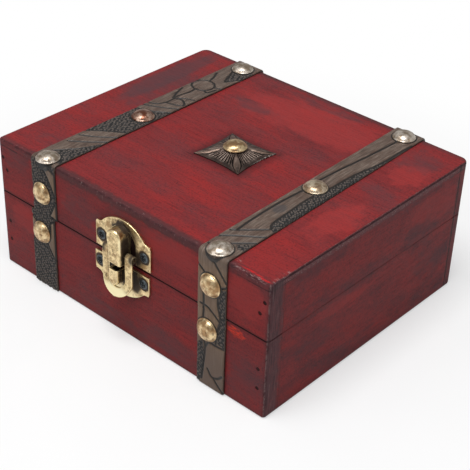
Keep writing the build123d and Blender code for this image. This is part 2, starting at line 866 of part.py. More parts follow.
# Seen from behind, the left hinge is on the box's right; names follow the front view.
for side_name, place in (("left", hinge_spread), ("right", -hinge_spread)):
    hinge_leaf(f"hinge_{side_name}_lid_leaf", place, 1)
    hinge_leaf(f"hinge_{side_name}_base_leaf", place, -1)
    hinge_pin(f"hinge_{side_name}_pin", place)

hinge_screw = cross_screw(
    hinge_screw_head_radius,
    hinge_screw_head_height,
    hinge_screw_shank_radius,
    hinge_screw_length,
)
hinge_screw_plane = back_plane.offset(hinge_leaf_thickness)
fastener_group("hinge_lid_screws", hinge_screw, (hinge_screw_plane, lid_hinge_screws))
fastener_group("hinge_base_screws", hinge_screw, (hinge_screw_plane, base_hinge_screws))
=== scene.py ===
# The looks of a small wooden treasure chest box: stained boards, tooled leather straps,
# domed tacks, a fluted ornament, a pressed brass latch and butt hinges. X runs along the
# front, the front faces -Y and Z is up. Meshes are in metres, and sizes here in millimetres.

from math import cos, pi, radians, sin, sqrt

import bpy
import numpy as np
from mathutils import Matrix, Vector
from mathutils.bvhtree import BVHTree


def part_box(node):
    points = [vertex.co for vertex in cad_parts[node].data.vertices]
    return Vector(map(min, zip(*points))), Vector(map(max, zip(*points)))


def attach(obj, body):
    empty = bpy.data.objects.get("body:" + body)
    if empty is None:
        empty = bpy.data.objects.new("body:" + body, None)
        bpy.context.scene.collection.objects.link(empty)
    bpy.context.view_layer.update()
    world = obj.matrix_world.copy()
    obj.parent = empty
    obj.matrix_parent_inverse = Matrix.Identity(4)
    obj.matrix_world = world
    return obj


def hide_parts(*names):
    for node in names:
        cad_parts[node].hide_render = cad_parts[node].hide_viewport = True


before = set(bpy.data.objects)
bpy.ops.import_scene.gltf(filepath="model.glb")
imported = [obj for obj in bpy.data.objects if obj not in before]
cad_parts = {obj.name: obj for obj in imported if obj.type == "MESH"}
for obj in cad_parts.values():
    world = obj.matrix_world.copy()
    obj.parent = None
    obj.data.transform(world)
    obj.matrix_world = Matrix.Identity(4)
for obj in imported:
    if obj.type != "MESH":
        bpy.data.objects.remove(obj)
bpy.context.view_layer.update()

MM = 0.001


def box_of(name):
    """A node's lowest and highest corners, in millimetres."""
    low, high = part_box(name)
    return np.array(low) / MM, np.array(high) / MM


def points_of(name):
    """All points of a node's mesh, in millimetres."""
    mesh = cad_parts[name].data
    points = np.empty(len(mesh.vertices) * 3, np.float32)
    mesh.vertices.foreach_get("co", points)
    return points.reshape(-1, 3) / MM


# Sizes of the box, read from the frame
panel_low, panel_high = box_of("lid_top_panel")
lid_board_low, lid_board_high = box_of("lid_front_board")
base_board_high = box_of("base_front_board")[1]
half_width = panel_high[0]
half_depth = panel_high[1]
lid_top = panel_high[2]
panel_foot = panel_low[2]
lid_foot = lid_board_low[2]
seam = (lid_foot + base_board_high[2]) / 2
board_thickness = lid_board_high[1] - lid_board_low[1]
strap_top = box_of("lid_left_strap")[1][2]
strap_thickness = strap_top - lid_top
run_length = 2 * lid_top + 2 * half_depth
ornament_low, ornament_high = box_of("top_ornament_plate")


# Materials: shader maths as expressions


def paint(red, green, blue):
    """A colour from its screen values, 0 to 255."""
    shares = [value / 255 for value in (red, green, blue)]
    return tuple(s / 12.92 if s < 0.04 else ((s + 0.055) / 1.055) ** 2.4 for s in shares) + (1,)


class Field:
    """A value that varies in a node tree. Arithmetic on it adds Math nodes."""

    def __init__(self, tree, socket):
        self.tree = tree
        self.socket = socket

    def math(self, operation, *values):
        return self.tree.add("ShaderNodeMath", {"operation": operation}, dict(enumerate(values)))

    def __add__(self, other):
        return self.math("ADD", self, other)

    def __radd__(self, other):
        return self.math("ADD", other, self)

    def __sub__(self, other):
        return self.math("SUBTRACT", self, other)

    def __rsub__(self, other):
        return self.math("SUBTRACT", other, self)

    def __mul__(self, other):
        return self.math("MULTIPLY", self, other)

    def __rmul__(self, other):
        return self.math("MULTIPLY", other, self)

    def __abs__(self):
        return self.math("ABSOLUTE", self)

    def lowest(self, other):
        return self.math("MINIMUM", self, other)

    def highest(self, other):
        return self.math("MAXIMUM", self, other)

    def step(self, low, high):
        """0 at one value and 1 at the other, with a soft step between them."""
        sockets = {"Value": self, "From Min": low, "From Max": high}
        return self.tree.add("ShaderNodeMapRange", {"interpolation_type": "SMOOTHSTEP"}, sockets)


class NodeTree:
    """A node tree that is filled through one method."""

    def __init__(self, tree):
        self.tree = tree

    def add(self, kind, settings=None, sockets=None, output=0):
        """A node with its settings, then its sockets' values or links. Gives one output."""
        node = self.tree.nodes.new(kind)
        for name, value in (settings or {}).items():
            if name == "curve":
                self.bend(node.mapping, value)
            else:
                setattr(node, name, value)
        for key, value in (sockets or {}).items():
            if isinstance(value, Field):
                self.tree.links.new(value.socket, node.inputs[key])
            else:
                node.inputs[key].default_value = value
        return Field(self, node.outputs[output]) if node.outputs else node

    def bend(self, mapping, points):
        """Sets a curve node's points, from the first to the last."""
        curve = mapping.curves[0]
        for place, point in enumerate(points):
            if place < len(curve.points):
                curve.points[place].location = point
            else:
                curve.points.new(*point)
        mapping.update()


class Finish(NodeTree):
    """One material, which reads the object's own coordinates or its attributes."""

    def __init__(self, name, place=None):
        self.material = bpy.data.materials.new(name)
        self.material.use_nodes = True
        super().__init__(self.material.node_tree)
        self.tree.nodes.clear()
        if place:
            self.place = self.attribute(place, "Vector")
        else:
            self.place = self.add("ShaderNodeTexCoord", output="Object")

    def attribute(self, name, output="Fac"):
        return self.add("ShaderNodeAttribute", {"attribute_name": name}, output=output)

    def axis(self, name):
        """The place along X, Y or Z, in millimetres."""
        return self.add("ShaderNodeSeparateXYZ", {}, {"Vector": self.place}, name) * (1 / MM)

    def noise(self, sizes, seed, detail=2.0, roughness=0.5, distortion=0.0):
        """Soft noise with cells of one size, or of a size along each axis, in millimetres."""
        mapping = {
            "Vector": self.place,
            "Scale": [1 / (size * MM) for size in np.broadcast_to(sizes, 3)],
            "Location": (7.31 * seed, 3.17 * seed, 5.73 * seed),
        }
        sockets = {
            "Vector": self.add("ShaderNodeMapping", {}, mapping),
            "Scale": 1.0,
            "Detail": detail,
            "Roughness": roughness,
            "Distortion": distortion,
        }
        return self.add("ShaderNodeTexNoise", {}, sockets)

    def blot(self, centre, reach, seed=0, ragged=0.0):
        """1 at a place and 0 outside an ellipsoid about it, with a ragged edge."""
        mapping = {
            "Vector": self.place,
            "Scale": [1 / (size * MM) for size in reach],
            "Location": [-middle / size for middle, size in zip(centre, reach)],
        }
        away = {0: self.add("ShaderNodeMapping", {}, mapping)}
        gap = self.add("ShaderNodeVectorMath", {"operation": "LENGTH"}, away, "Value")
        if ragged:
            coarse = self.noise([size * 0.5 for size in reach], seed, detail=5.0, roughness=0.7)
            gap = gap + (coarse - 0.5) * ragged
        return gap.step(1.0, 0.55)

    def mix(self, share, first, second):
        """The first colour where the share is 0, and the second where it is 1."""
        return self.add("ShaderNodeMix", {"data_type": "RGBA"}, {0: share, 6: first, 7: second}, 2)

    def cover(self, share, colour):
        """Lays a colour over the finish so far: nothing of it at 0, and all of it at 1."""
        self.colour = self.mix(share, self.colour, colour)

    def shade(self, height, depth, strength, **sockets):
        """Ends the material. The depth of its bump is in millimetres."""
        bump = {"Height": height, "Distance": depth * MM, "Strength": strength}
        inputs = {name.replace("_", " "): value for name, value in sockets.items()}
        inputs["Base Color"] = self.colour
        inputs["Normal"] = self.add("ShaderNodeBump", {}, bump)
        surface = self.add("ShaderNodeBsdfPrincipled", {}, inputs)
        self.add("ShaderNodeOutputMaterial", {}, {"Surface": surface})
        return self.material


# Stained wood


# Marks on the top panel beside its front right corner: the way left along the edge, the way
# back from it, and half the mark's length and width
front_edge_chips = [(20.0, 4.0, 3.4, 1.0), (11.0, 0.4, 11.0, 1.5), (1.2, 6.0, 1.2, 9.0)]
front_edge_splits = [(11.0, 2.2, 7.0, 0.7), (4.0, 1.4, 3.6, 0.6)]

# Smudges rubbed into the stain, and places where it is thin and glows. Each is set on
# its face, by its middle and then by its reach, both as the X, Y or Z that run along the face.
front_smudges = [
    (-26, 52, 15, 8),
    (8, 60, 20, 4),
    (32, 8, 30, 7),
    (-6, 6, 24, 5),
    (70, 14, 12, 12),
    (-70, 60, 12, 8),
]
right_smudges = [
    (-11, 40, 16, 7),
    (34, 42, 17, 9),
    (-38, 61, 24, 5),
    (20, 62, 30, 4),
    (48, 22, 22, 8),
    (-14, 6, 26, 6),
    (-40, 24, 16, 7),
]
left_smudges = [(10, 34, 30, 9), (-40, 55, 14, 6)]
panel_smudges = [
    (-62, 17, 11, 26),
    (-58, -52, 12, 8),
    (66, 48, 12, 12),
    (66, 16, 13, 5),
    (2, 60, 26, 5),
    (-20, 36, 18, 5),
]
front_glows = [(20, 56, 34, 9), (68, 54, 16, 10), (-62, 30, 14, 8)]
right_glows = [(44, 52, 26, 10), (-20, 34, 22, 5)]
panel_glows = [(12, 44, 46, 18), (70, -14, 9, 22), (69, 36, 10, 12)]
mark_depth = 8

# Fresh red in a scratch on the base's front: how far in from the right side, and how high
scratch_inset = 16.5
scratch_height = 35.4

# Sizes of the wear: how far in the edges are rubbed, how far below the side's top edge its
# dark line and its grey line lie, how high the dark foot reaches, and half the seam's shadow
edge_band = 4.4
edge_line_drop = 0.8
grey_line_drop = 2.2
dark_foot = 5.0
seam_half = 0.42

# How far from a corner the front is rubbed less, and the joint under the panel is darker
corner_reach = 28.0
joint_reach = 20.0


def on_face(axis, level, marks):
    """The middle and the reach of marks on a face that is square to an axis."""
    placed = []
    for mark in marks:
        middle, reach = mark[:2], mark[2:]
        middle = (*middle[:axis], level, *middle[axis:])
        placed.append((middle, (*reach[:axis], mark_depth, *reach[axis:])))
    return placed


class WoodStain(Finish):
    """Red stain on open-grained wood, with worn edges, dark joints and bare wood inside."""

    middle_red = paint(132, 45, 46)
    bright_red = paint(152, 42, 41)
    deep_red = paint(98, 40, 44)
    thin_red = paint(174, 58, 56)
    split_red = paint(190, 34, 36)
    scratch_red = paint(212, 58, 38)
    smoke = paint(82, 56, 60)
    band = paint(70, 46, 48)
    rubbed = paint(96, 60, 63)
    pore = paint(56, 26, 30)
    grime = paint(38, 22, 25)
    # The near black of a painted shadow
    shadow_black = paint(26, 17, 15)
    seam_shadow = paint(14, 8, 10)
    worn = paint(158, 134, 130)
    bare = paint(126, 72, 54)
    bare_ring = paint(96, 50, 40)
    bare_fibre = paint(70, 38, 32)

    def __init__(self, name, grain, smoky, smoke=smoke):
        super().__init__(name)
        self.smoke = smoke
        self.grain = grain
        self.x, self.y, self.z = [self.axis(name) for name in "XYZ"]
        self.side = half_width - abs(self.x)
        self.front = half_depth - abs(self.y)
        self.top = lid_top - self.z
        self.behind = self.y.step(-10.0, 10.0)
        self.fray = self.noise(3.0, 11, detail=4.0, roughness=0.65)
        self.fibres = self.along_grain(12.0, 0.55, 5, detail=3.0, roughness=0.65)
        self.pores = self.along_grain(3.4, 0.34, 6, detail=2.0)
        self.stain(smoky)

    def along_grain(self, length, width, seed, detail=2.0, roughness=0.5, distortion=0.0):
        """Noise drawn out along the grain."""
        sizes = [width] * 3
        sizes[self.grain] = length
        return self.noise(sizes, seed, detail, roughness, distortion)

    def ragged(self, size):
        """An uneven shift, as far apart as a size, that frays a border."""
        return (self.fray - 0.5) * size

    def stain(self, smoky):
        """The stain's own play of colour, with fine fibres and open pores along the grain."""
        bright = self.along_grain(42.0, 13.0, 2, detail=4.0, roughness=0.6, distortion=0.5)
        deep = self.along_grain(50.0, 12.0, 3, detail=5.0, roughness=0.62, distortion=0.7)
        clouds = self.along_grain(30.0, 14.0, 4, detail=6.0, roughness=0.66, distortion=0.4)
        lines = self.along_grain(55.0, 1.3, 8, detail=3.0, roughness=0.6)
        speckle = self.noise(0.9, 9, detail=3.0, roughness=0.7)
        cloudy = clouds + (speckle - 0.5) * 0.16
        self.colour = self.mix(bright.step(0.4, 0.74) * 0.8, self.middle_red, self.bright_red)
        self.cover(deep.step(0.42, 0.76) * 0.6, self.deep_red)
        self.cover(lines.step(0.54, 0.72) * 0.3, self.deep_red)
        self.cover(cloudy.step(0.42, 0.74) * smoky, self.smoke)
        self.cover(self.fibres.step(0.5, 0.74) * 0.45, self.pore)
        self.cover(self.fibres.step(0.46, 0.26) * 0.3, self.bright_red)
        self.cover(speckle.step(0.51, 0.66) * 0.5, self.pore)
        self.cover(speckle.step(0.47, 0.32) * 0.45, self.bright_red)
        self.cover(self.pores.step(0.66, 0.8) * 0.35, self.pore)

    def smudge(self, places):
        """Soft dark smudges, broken up along the grain."""
        broken = self.along_grain(12.0, 6.0, 14, detail=6.0, roughness=0.7, distortion=0.6)
        for middle, reach in places:
            share = self.blot(middle, reach, 26, ragged=1.6) * broken.step(0.26, 0.68)
            self.cover(share * 0.62, self.smoke)

    def glow(self, places):
        """Places where the stain is thin and bright."""
        for middle, reach in places:
            self.cover(self.blot(middle, reach, 29, ragged=1.7) * 0.36, self.thin_red)

    def edges(self):
        """Rubbed bands and grime along the edges, with a dark line under the side's top edge."""
        upright = self.side.highest(self.front)
        over_front = self.front.highest(self.top)
        below_edge = self.side.highest(self.top) + self.side.step(0.3, 1.3) * 10.0
        frayed = upright.lowest(below_edge).lowest(over_front) + self.ragged(3.0)
        self.cover(frayed.step(3.2, 0.4) * 0.45, self.smoke)
        band = over_front.lowest(below_edge) + self.ragged(4.0)
        rubbed = self.mix(over_front.step(6.0, 4.0), self.rubbed, self.band)
        near_corner = self.side.step(corner_reach, 12.0) * self.side.step(0.4, 1.4)
        self.cover(band.step(edge_band, edge_band / 2) * (0.72 - near_corner * 0.4), rubbed)
        self.cover(frayed.step(0.9, 0.2) * 0.6, self.grime)
        line = abs(below_edge - edge_line_drop) + self.ragged(0.5)
        self.cover(line.step(0.4, 0.12) * 0.85, self.grime)
        self.chips(upright, band, below_edge)
        self.foot_and_seam()

    def chips(self, upright, band, below_edge):
        """Pale wood where the stain has come off the corners and edges."""
        chipped = self.noise((1.1, 1.1, 2.4), 12, detail=3.0, roughness=0.75)
        ridge = (upright - self.behind * 0.7).step(1.0, 0.5)
        self.cover(ridge * chipped.step(0.42, 0.6) * 0.85, self.worn)
        flecks = band.step(3.6, 1.2) * chipped.step(0.6, 0.7)
        self.cover(flecks * 0.35, self.worn)
        grey = abs(below_edge - grey_line_drop).step(1.3, 0.6) * self.fibres.step(0.5, 0.66)
        self.cover(grey * 0.65, self.worn)

    def foot_and_seam(self):
        """The darker foot of the box, and the shadow and haze of the seam under the lid."""
        foot = self.z + self.ragged(6.0)
        self.cover(foot.step(dark_foot, 0.0) * 0.55, self.deep_red)
        self.cover(foot.step(1.6, 0.0) * 0.6, self.grime)
        near_seam = abs(self.z - seam)
        facing = self.front.step(2.0, 0.8) * 0.8 + 0.2
        haze = near_seam + self.ragged(3.0)
        self.cover(haze.step(2.2, 0.2) * facing * 0.4, self.grime)
        self.cover(near_seam.step(seam_half, 0.24) * facing, self.seam_shadow)

    def joints(self):
        """The joint under the top panel, and the long boards' ends on the short sides."""
        near_end = (self.side.highest(self.front) + self.ragged(14.0)).step(joint_reach, 8.0)
        line = (abs(self.z - panel_foot) + self.ragged(1.2)).step(0.42, 0.1)
        self.cover(line * (0.12 + near_end * 0.6), self.grime)
        on_side = self.side.step(1.0, 0.3)
        streaks = self.noise((0.6, 0.6, 9.0), 13, detail=4.0, roughness=0.7)
        past = self.front + (streaks - 0.5) * 5.0 + self.ragged(5.0)
        end_grain = on_side * past.step(board_thickness + 0.8, board_thickness - 2.4)
        grey = self.fray.step(0.1, 0.5) * (0.8 - self.behind * 0.5)
        self.cover(end_grain * grey, self.smoke)
        self.cover(end_grain * streaks.step(0.5, 0.62) * 0.6, self.grime)
        self.cover(end_grain * streaks.step(0.44, 0.34) * 0.25, self.worn)
        dashes = self.noise((2.0, 2.0, 1.7), 15, detail=3.0, roughness=0.7)
        broken = 0.3 + self.behind * dashes.step(0.36, 0.5) * 0.7
        crack = abs(self.front - board_thickness + self.behind * 1.6)
        crack = crack + self.ragged(2.0 - self.behind)
        self.cover(on_side * crack.step(0.5 + self.behind * 0.25, 0.1) * broken, self.grime)

    def finished(self):
        """Bare wood, thinly stained, on every face that is shut away, and the end of the finish."""
        depth = self.side.lowest(self.front).lowest(self.top).lowest(self.z)
        rings = self.along_grain(50.0, 2.2, 7, detail=3.0)
        bare = self.mix(rings.step(0.4, 0.7) * 0.5, self.bare, self.bare_ring)
        bare = self.mix(self.fibres.step(0.5, 0.8) * 0.4, bare, self.bare_fibre)
        self.cover(depth.step(1.5, 1.9), bare)
        height = self.fibres * 0.6 + self.pores * 0.4
        rough = 0.5 + (self.fibres - 0.5) * 0.3 + self.ragged(0.2)
        return self.shade(height, 0.09, 0.8, Roughness=rough, Specular_IOR_Level=0.12)


def board_stain(name, grain, smoky, smudges, glows, **colours):
    """The stain of a board, with its glows, smudges, worn edges and joints."""
    wood = WoodStain(name, grain, smoky, **colours)
    wood.glow(glows)
    wood.smudge(smudges)
    wood.edges()
    wood.joints()
    return wood


def front_stain(name, smoky):
    """The stain of a long board."""
    smudges = on_face(1, -half_depth, front_smudges)
    return board_stain(name, 0, smoky, smudges, on_face(1, -half_depth, front_glows))


def side_stain(name):
    """The stain of a short board, which is smokier and darker than the rest: partly its own
    purplish smoke, partly painted shade.
    """
    smudges = on_face(0, half_width, right_smudges) + on_face(0, -half_width, left_smudges)
    glows = on_face(0, half_width, right_glows)
    # Darker smoke: partly the board's own, partly painted shade
    return board_stain(name, 1, 0.74, smudges, glows, smoke=paint(62, 44, 50))


def panel_wood():
    """The top panel's finish, with the grime round the ornament and the chipped front edge."""
    wood = WoodStain("panel_stain", 0, 0.5)
    wood.glow(on_face(2, lid_top, panel_glows))
    wood.edges()
    wood.joints()
    middle = (ornament_low + ornament_high) / 2
    reach = (ornament_high - ornament_low) / 2
    across = abs(wood.x - middle[0]) * (1 / reach[0])
    along = abs(wood.y - middle[1]) * (1 / reach[1])
    halo = across.highest(along) + wood.ragged(0.4)
    wood.cover(halo.step(1.4, 0.9) * 0.6, wood.grime)
    left_smoke = wood.blot((-70, 30, lid_top), (8, 42, 9), 21, ragged=0.9)
    wood.cover(left_smoke * 0.7, wood.smoke)
    wood.smudge(on_face(2, lid_top, panel_smudges))
    corner = Vector((half_width, -half_depth, lid_top))
    splinters = wood.noise((2.6, 0.7, 0.7), 25, detail=4.0, roughness=0.7)
    for x, y, length, width in front_edge_splits:
        split = wood.blot(corner + Vector((-x, y, -0.3)), (length, width, 1.4), 22, ragged=1.0)
        wood.cover(split * splinters.step(0.36, 0.52), wood.split_red)
    for x, y, length, width in front_edge_chips:
        chip = wood.blot(corner + Vector((-x, y, -0.2)), (length, width, 1.2), 23, ragged=1.0)
        wood.cover(chip * splinters.step(0.54, 0.6) * 0.6, wood.worn)
        wood.cover(chip * splinters.step(0.4, 0.3) * 0.7, wood.grime)
    return wood.finished()


def behind_plate(name, rise=0.0):
    """The spot on the front boards behind the middle of a latch plate."""
    low, high = box_of(name)
    middle = (low + high) / 2
    return (middle[0], -half_depth, middle[2] + rise)


def lid_front_wood():
    """The lid's front board, with grime and a deep painted shadow behind the latch."""
    wood = front_stain("lid_front_stain", 0.5)
    place = behind_plate("latch_upper_plate", rise=-1.0)
    grime_reach, shadow_reach = (21.0, 4.0, 15.0), (15.0, 4.0, 12.0)
    wood.cover(wood.blot(place, grime_reach, 28, ragged=0.7) * 0.5, wood.grime)
    # A deep painted shadow behind the latch
    wood.cover(wood.blot(place, shadow_reach, 27, ragged=0.3) * 0.94, wood.shadow_black)
    return wood.finished()


def base_front_wood():
    """The base's front board, with a scratch that shows fresh red beside the right strap, and
    grime behind the latch."""
    wood = front_stain("base_front_stain", 0.62)
    scratch_place = (half_width - scratch_inset, -half_depth, scratch_height)
    scratch_reach, grime_reach = (5.6, 2.0, 2.6), (21.0, 4.0, 12.5)
    scratch = wood.blot(scratch_place, scratch_reach, 24, ragged=1.5)
    splinters = wood.noise((2.2, 1.0, 0.7), 25, detail=4.0, roughness=0.7)
    wood.cover(scratch * splinters.step(0.36, 0.6), wood.scratch_red)
    place = behind_plate("latch_lower_plate")
    wood.cover(wood.blot(place, grime_reach, 28, ragged=0.7) * 0.5, wood.grime)
    return wood.finished()


def wear_finish(nodes, material):
    """Gives CAD nodes a finish."""
    for name in nodes:
        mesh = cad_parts[name].data
        mesh.materials.clear()
        mesh.materials.append(material)


long_boards = ["base_back_board", "lid_back_board", "base_bottom_panel"]
short_boards = ["base_left_board", "base_right_board", "lid_left_board", "lid_right_board"]
wear_finish(long_boards, front_stain("long_board_stain", 0.5).finished())
wear_finish(short_boards, side_stain("short_board_stain").finished())
wear_finish(["base_front_board"], base_front_wood())
wear_finish(["lid_front_board"], lid_front_wood())
wear_finish(["lid_top_panel"], panel_wood())


# Meshes


def make_piece(name, points, faces, material, **attributes):
    """A smooth mesh object from points in millimetres, with a value for each point."""
    mesh = bpy.data.meshes.new(name)
    mesh.from_pydata((np.asarray(points) * MM).tolist(), [], faces)
    mesh.polygons.foreach_set("use_smooth", [True] * len(mesh.polygons))
    mesh.materials.append(material)
    for label, values in attributes.items():
        values = np.asarray(values, np.float32)
        kind, key = ("FLOAT_VECTOR", "vector") if values.ndim == 2 else ("FLOAT", "value")
        mesh.attributes.new(label, kind, "POINT").data.foreach_set(key, values.ravel())
    piece = bpy.data.objects.new(name, mesh)
    bpy.context.scene.collection.objects.link(piece)
    return piece


def settle(piece, body, slot, *nodes):
    """Hands a finished piece to the body that carries it, in place of its nodes."""
    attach(piece, body)
    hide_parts(*nodes)


def solids_of(name):
    """The points of each separate solid in a node, in millimetres, from left to right."""
    points = np.round(points_of(name), 3)
    spots, spot_of = np.unique(points, axis=0, return_inverse=True)
    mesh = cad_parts[name].data
    corners = np.empty(len(mesh.loops), np.int32)
    mesh.loops.foreach_get("vertex_index", corners)
    triangles = spot_of.ravel()[corners].reshape(-1, 3)
    group = np.arange(len(spots))
    while True:
        lowest = group[triangles].min(axis=1)
        merged = group.copy()
        for corner in range(3):
            np.minimum.at(merged, triangles[:, corner], lowest)
        if (merged == group).all():
            break
        group = merged
    solids = [spots[group == label] for label in np.unique(group)]
    return sorted(solids, key=lambda solid: solid[:, 0].mean())


# Where the tacks sit

front_strap_face = box_of("base_front_left_strap")[0][1]

# For each node, the axis that its tacks are driven along, and how far along it they sit
tack_nodes = {
    "lid_edge_tacks": (2, strap_top),
    "lid_middle_tacks": (2, strap_top),
    "ornament_tack": (2, ornament_high[2]),
    "lid_front_tacks": (1, front_strap_face),
    "base_front_tacks": (1, front_strap_face),
}


def tack_seats(name):
    """The middle of each tack's seat in a node, on the surface that it is driven through."""
    axis, level = tack_nodes[name]
    seats = []
    for solid in solids_of(name):
        seat = (solid.min(axis=0) + solid.max(axis=0)) / 2
        seat[axis] = level
        seats.append(seat)
    return seats


ornament_tack_low, ornament_tack_high = box_of("ornament_tack")
tack_radius = (ornament_tack_high[0] - ornament_tack_low[0]) / 2
tack_height = ornament_tack_high[2] - ornament_high[2]


# Leather tooling: a relief over the places of a strap, across it and along it

cut_depth = 0.5
cut_width = 0.52
curve_steps = 8
ring_steps = 32
field_depth = 0.42
field_border = (-0.1, 0.35)
bead_pitch = (1.55, 1.2)
bead_cells = 61
bead_jitter = 0.55
bead_radius_share = 0.52
bead_rise_share = 0.95
edge_round = 0.4
edge_drop = 0.3


def smooth_path(points):
    """A soft curve through a few given points."""
    points = np.array(points, float)
    first = 2 * points[0] - points[1]
    last = 2 * points[-1] - points[-2]
    knots = np.vstack([first, points, last])
    path = []
    for before, start, end, after in zip(knots, knots[1:], knots[2:], knots[3:]):
        for share in np.arange(curve_steps) / curve_steps:
            square, cube = share**2, share**3
            pull = 2 * start + (end - before) * share
            pull = pull + (2 * before - 5 * start + 4 * end - after) * square
            pull = pull + (3 * start - before - 3 * end + after) * cube
            path.append(pull / 2)
    return np.array([*path, points[-1]])


def path_gap(places, path):
    """How far each place is from a path."""
    nearest = np.full(len(places), np.inf)
    for start, end in zip(path[:-1], path[1:]):
        way = end - start
        share = np.clip((places - start) @ way / (way @ way), 0, 1)
        gap = np.linalg.norm(places - start - share[:, None] * way, axis=1)
        nearest = np.minimum(nearest, gap)
    return nearest


def soft_step(values, low, high):
    """0 below one value and 1 above the other, with a soft step between them."""
    share = np.clip((values - low) / (high - low), 0, 1)
    return share * share * (3 - 2 * share)


def within(places, outline):
    """1 inside an outline and 0 outside it, with a soft edge."""
    corners = np.array(outline, float)
    closed = np.vstack([corners, corners[:1]])
    across, along = places.T
    odd = np.zeros(len(places), bool)
    for (x0, y0), (x1, y1) in zip(closed[:-1], closed[1:]):
        if y0 != y1:
            crosses = (y0 > along) != (y1 > along)
            odd ^= crosses & (across < x0 + (along - y0) * (x1 - x0) / (y1 - y0))
    gap = path_gap(places, closed)
    return soft_step(np.where(odd, gap, -gap), *field_border)


def beads(places, slant, random):
    """The height of rows of small beads, 0 to 1. The rows slant by an angle."""
    turn = radians(slant)
    turned = places @ np.array([[cos(turn), -sin(turn)], [sin(turn), cos(turn)]])
    cells = turned / bead_pitch
    corner = np.floor(cells).astype(int)
    shifts = random.random((bead_cells, bead_cells, 2))
    nearest = np.full(len(places), np.inf)
    for step in np.ndindex(3, 3):
        cell = corner + np.array(step) - 1
        shift = shifts[cell[:, 0] % bead_cells, cell[:, 1] % bead_cells]
        gap = np.linalg.norm(cells - cell - 0.5 - (shift - 0.5) * bead_jitter, axis=1)
        nearest = np.minimum(nearest, gap)
    return np.clip(1 - (nearest / bead_radius_share) ** 2, 0, 1) ** 0.7


class Tooling:
    """The pattern of one strap. Along it, a place is its height in front, then its way over
    the top from the front edge, and then its way down behind."""

    def __init__(self, slant):
        self.slant = slant
        self.cuts = []
        self.fields = []
        self.leaves = []

    def cut(self, *points):
        self.cuts.append(smooth_path(points))

    def field(self, *outline):
        """A beaded ground, sunk below the smooth leather."""
        self.fields.append(outline)

    def leaf(self, *outline):
        """A smooth shape that stands up out of the beaded ground, with a cut round it."""
        self.leaves.append(outline)
        self.cuts.append(np.array([*outline, outline[0]], float))

    def ring(self, centre, reach):
        """A cut round an oval."""
        turn = np.linspace(0, 2 * pi, ring_steps + 1)
        oval = np.column_stack([reach[0] * np.cos(turn), reach[1] * np.sin(turn)])
        self.cuts.append(oval + np.array(centre))

    def press(self, places, random):
        """How deep the leather lies at each place, and how much of it is cut, field or bead."""
        ground = np.zeros(len(places))
        for outline in self.fields:
            ground = np.maximum(ground, within(places, outline))
        for outline in self.leaves:
            ground = ground * (1 - within(places, outline))
        cut = np.zeros(len(places))
        for path in self.cuts:
            gap = path_gap(places, path)
            cut = np.maximum(cut, np.exp(-((gap / cut_width) ** 2)))
        bead = beads(places, self.slant, random) * ground
        rise = bead * field_depth * bead_rise_share
        depth = ground * field_depth - rise + cut * cut_depth * (1 - bead)
        return depth, cut, ground, bead


# How far from a strap's middle its cuts end, and its beaded grounds, which run over its edge
at_edge = 7.5
over = 7.6


def left_strap_pattern():
    """The left strap: slanted bands and leaves between beaded grounds."""
    tooling = Tooling(slant=28)
    tooling.field((-at_edge, 0), (at_edge, 0), (at_edge, lid_top), (-at_edge, lid_top))
    leaf_tip = ((3.6, 22.6), (1.8, 26.5), (4.4, 28.5), (5.2, 36.5))
    tooling.leaf((over, 20), (over, 17), *leaf_tip, (over, 38))
    tooling.leaf((-over, 36), (-4.6, 34), (-4.2, 26), (-over, 23.5))
    tooling.leaf((over, 39.5), (3.2, 40.3), (5.6, 45), (over, 48.6))
    tooling.leaf((-over, 53), (-5.4, 52.2), (-5.2, 46), (-over, 44))
    tooling.leaf((over, 50.5), (4.9, 56), (0.4, 63.4), (2.6, 65), (over, 62.5))
    tooling.field((0, 70), (-3, 75), (3.4, 83.9), (over, 92.6), (over, 68))
    tooling.cut((-3.8, 74.1), (3.4, 83.9), (at_edge, 92.4))
    tooling.cut((-5.4, 84.6), (1.6, 90.2), (at_edge, 95.9))
    tooling.cut((-5.8, 92), (0.5, 95.8), (at_edge, 102))
    band_start = ((-over, 96.3), (-1.7, 101.5), (over, 108.2))
    tooling.field(*band_start, (over, 135.6), (1.3, 131.1), (-over, 127.6))
    tooling.cut((-at_edge, 96.2), (-1.7, 101.5), (at_edge, 108.1))
    tooling.cut((-at_edge, 127.6), (1.3, 131.1), (at_edge, 135.6))
    tooling.cut((-7.4, 132.2), (-0.7, 135.6), (4.3, 138.5), (at_edge, 140.8))
    tooling.cut((-at_edge, 135.4), (-3.3, 137.4), (-1.4, 141.4), (-1.2, 147.2))
    tooling.cut((-1.2, 141.2), (4.4, 143), (6.6, 145.4), (2.6, 148.4), (-1.2, 147.2))
    tooling.cut((-0.4, 148.4), (2.7, 150.7), (6.5, 152.2))
    tooling.cut((-2.2, 147), (-4.6, 152.1), (-6.4, 157.6))
    tooling.cut((-2, 147), (-1.8, 152.6), (-0.8, 157.2), (-1.6, 161.6))
    tooling.ring((-1.4, 166.8), (5.7, 5.4))
    tooling.cut((3.4, 162.6), (5.6, 162.4), (6.4, 167.4))
    tooling.cut((4.2, 168.4), (at_edge, 169.8))
    tooling.cut((-2.3, 172.2), (-3.6, 176.6), (-5.8, 181))
    tooling.field((3.1, 177.4), (-2.1, 189.5), (1, 193), (over, 193), (over, 183), (4.8, 179.1))
    tooling.cut((-2.1, 189.5), (3.1, 177.4), (4.8, 179.1), (at_edge, 184))
    tooling.field((-at_edge, 200), (at_edge, 200), (at_edge, run_length), (-at_edge, run_length))
    tooling.leaf((-over, 207), (-1, 212), (5.4, 222), (1, 226), (-over, 220))
    tooling.leaf((over, 229), (1.5, 236), (-3.4, 247), (1.5, 250), (over, 243))
    return tooling


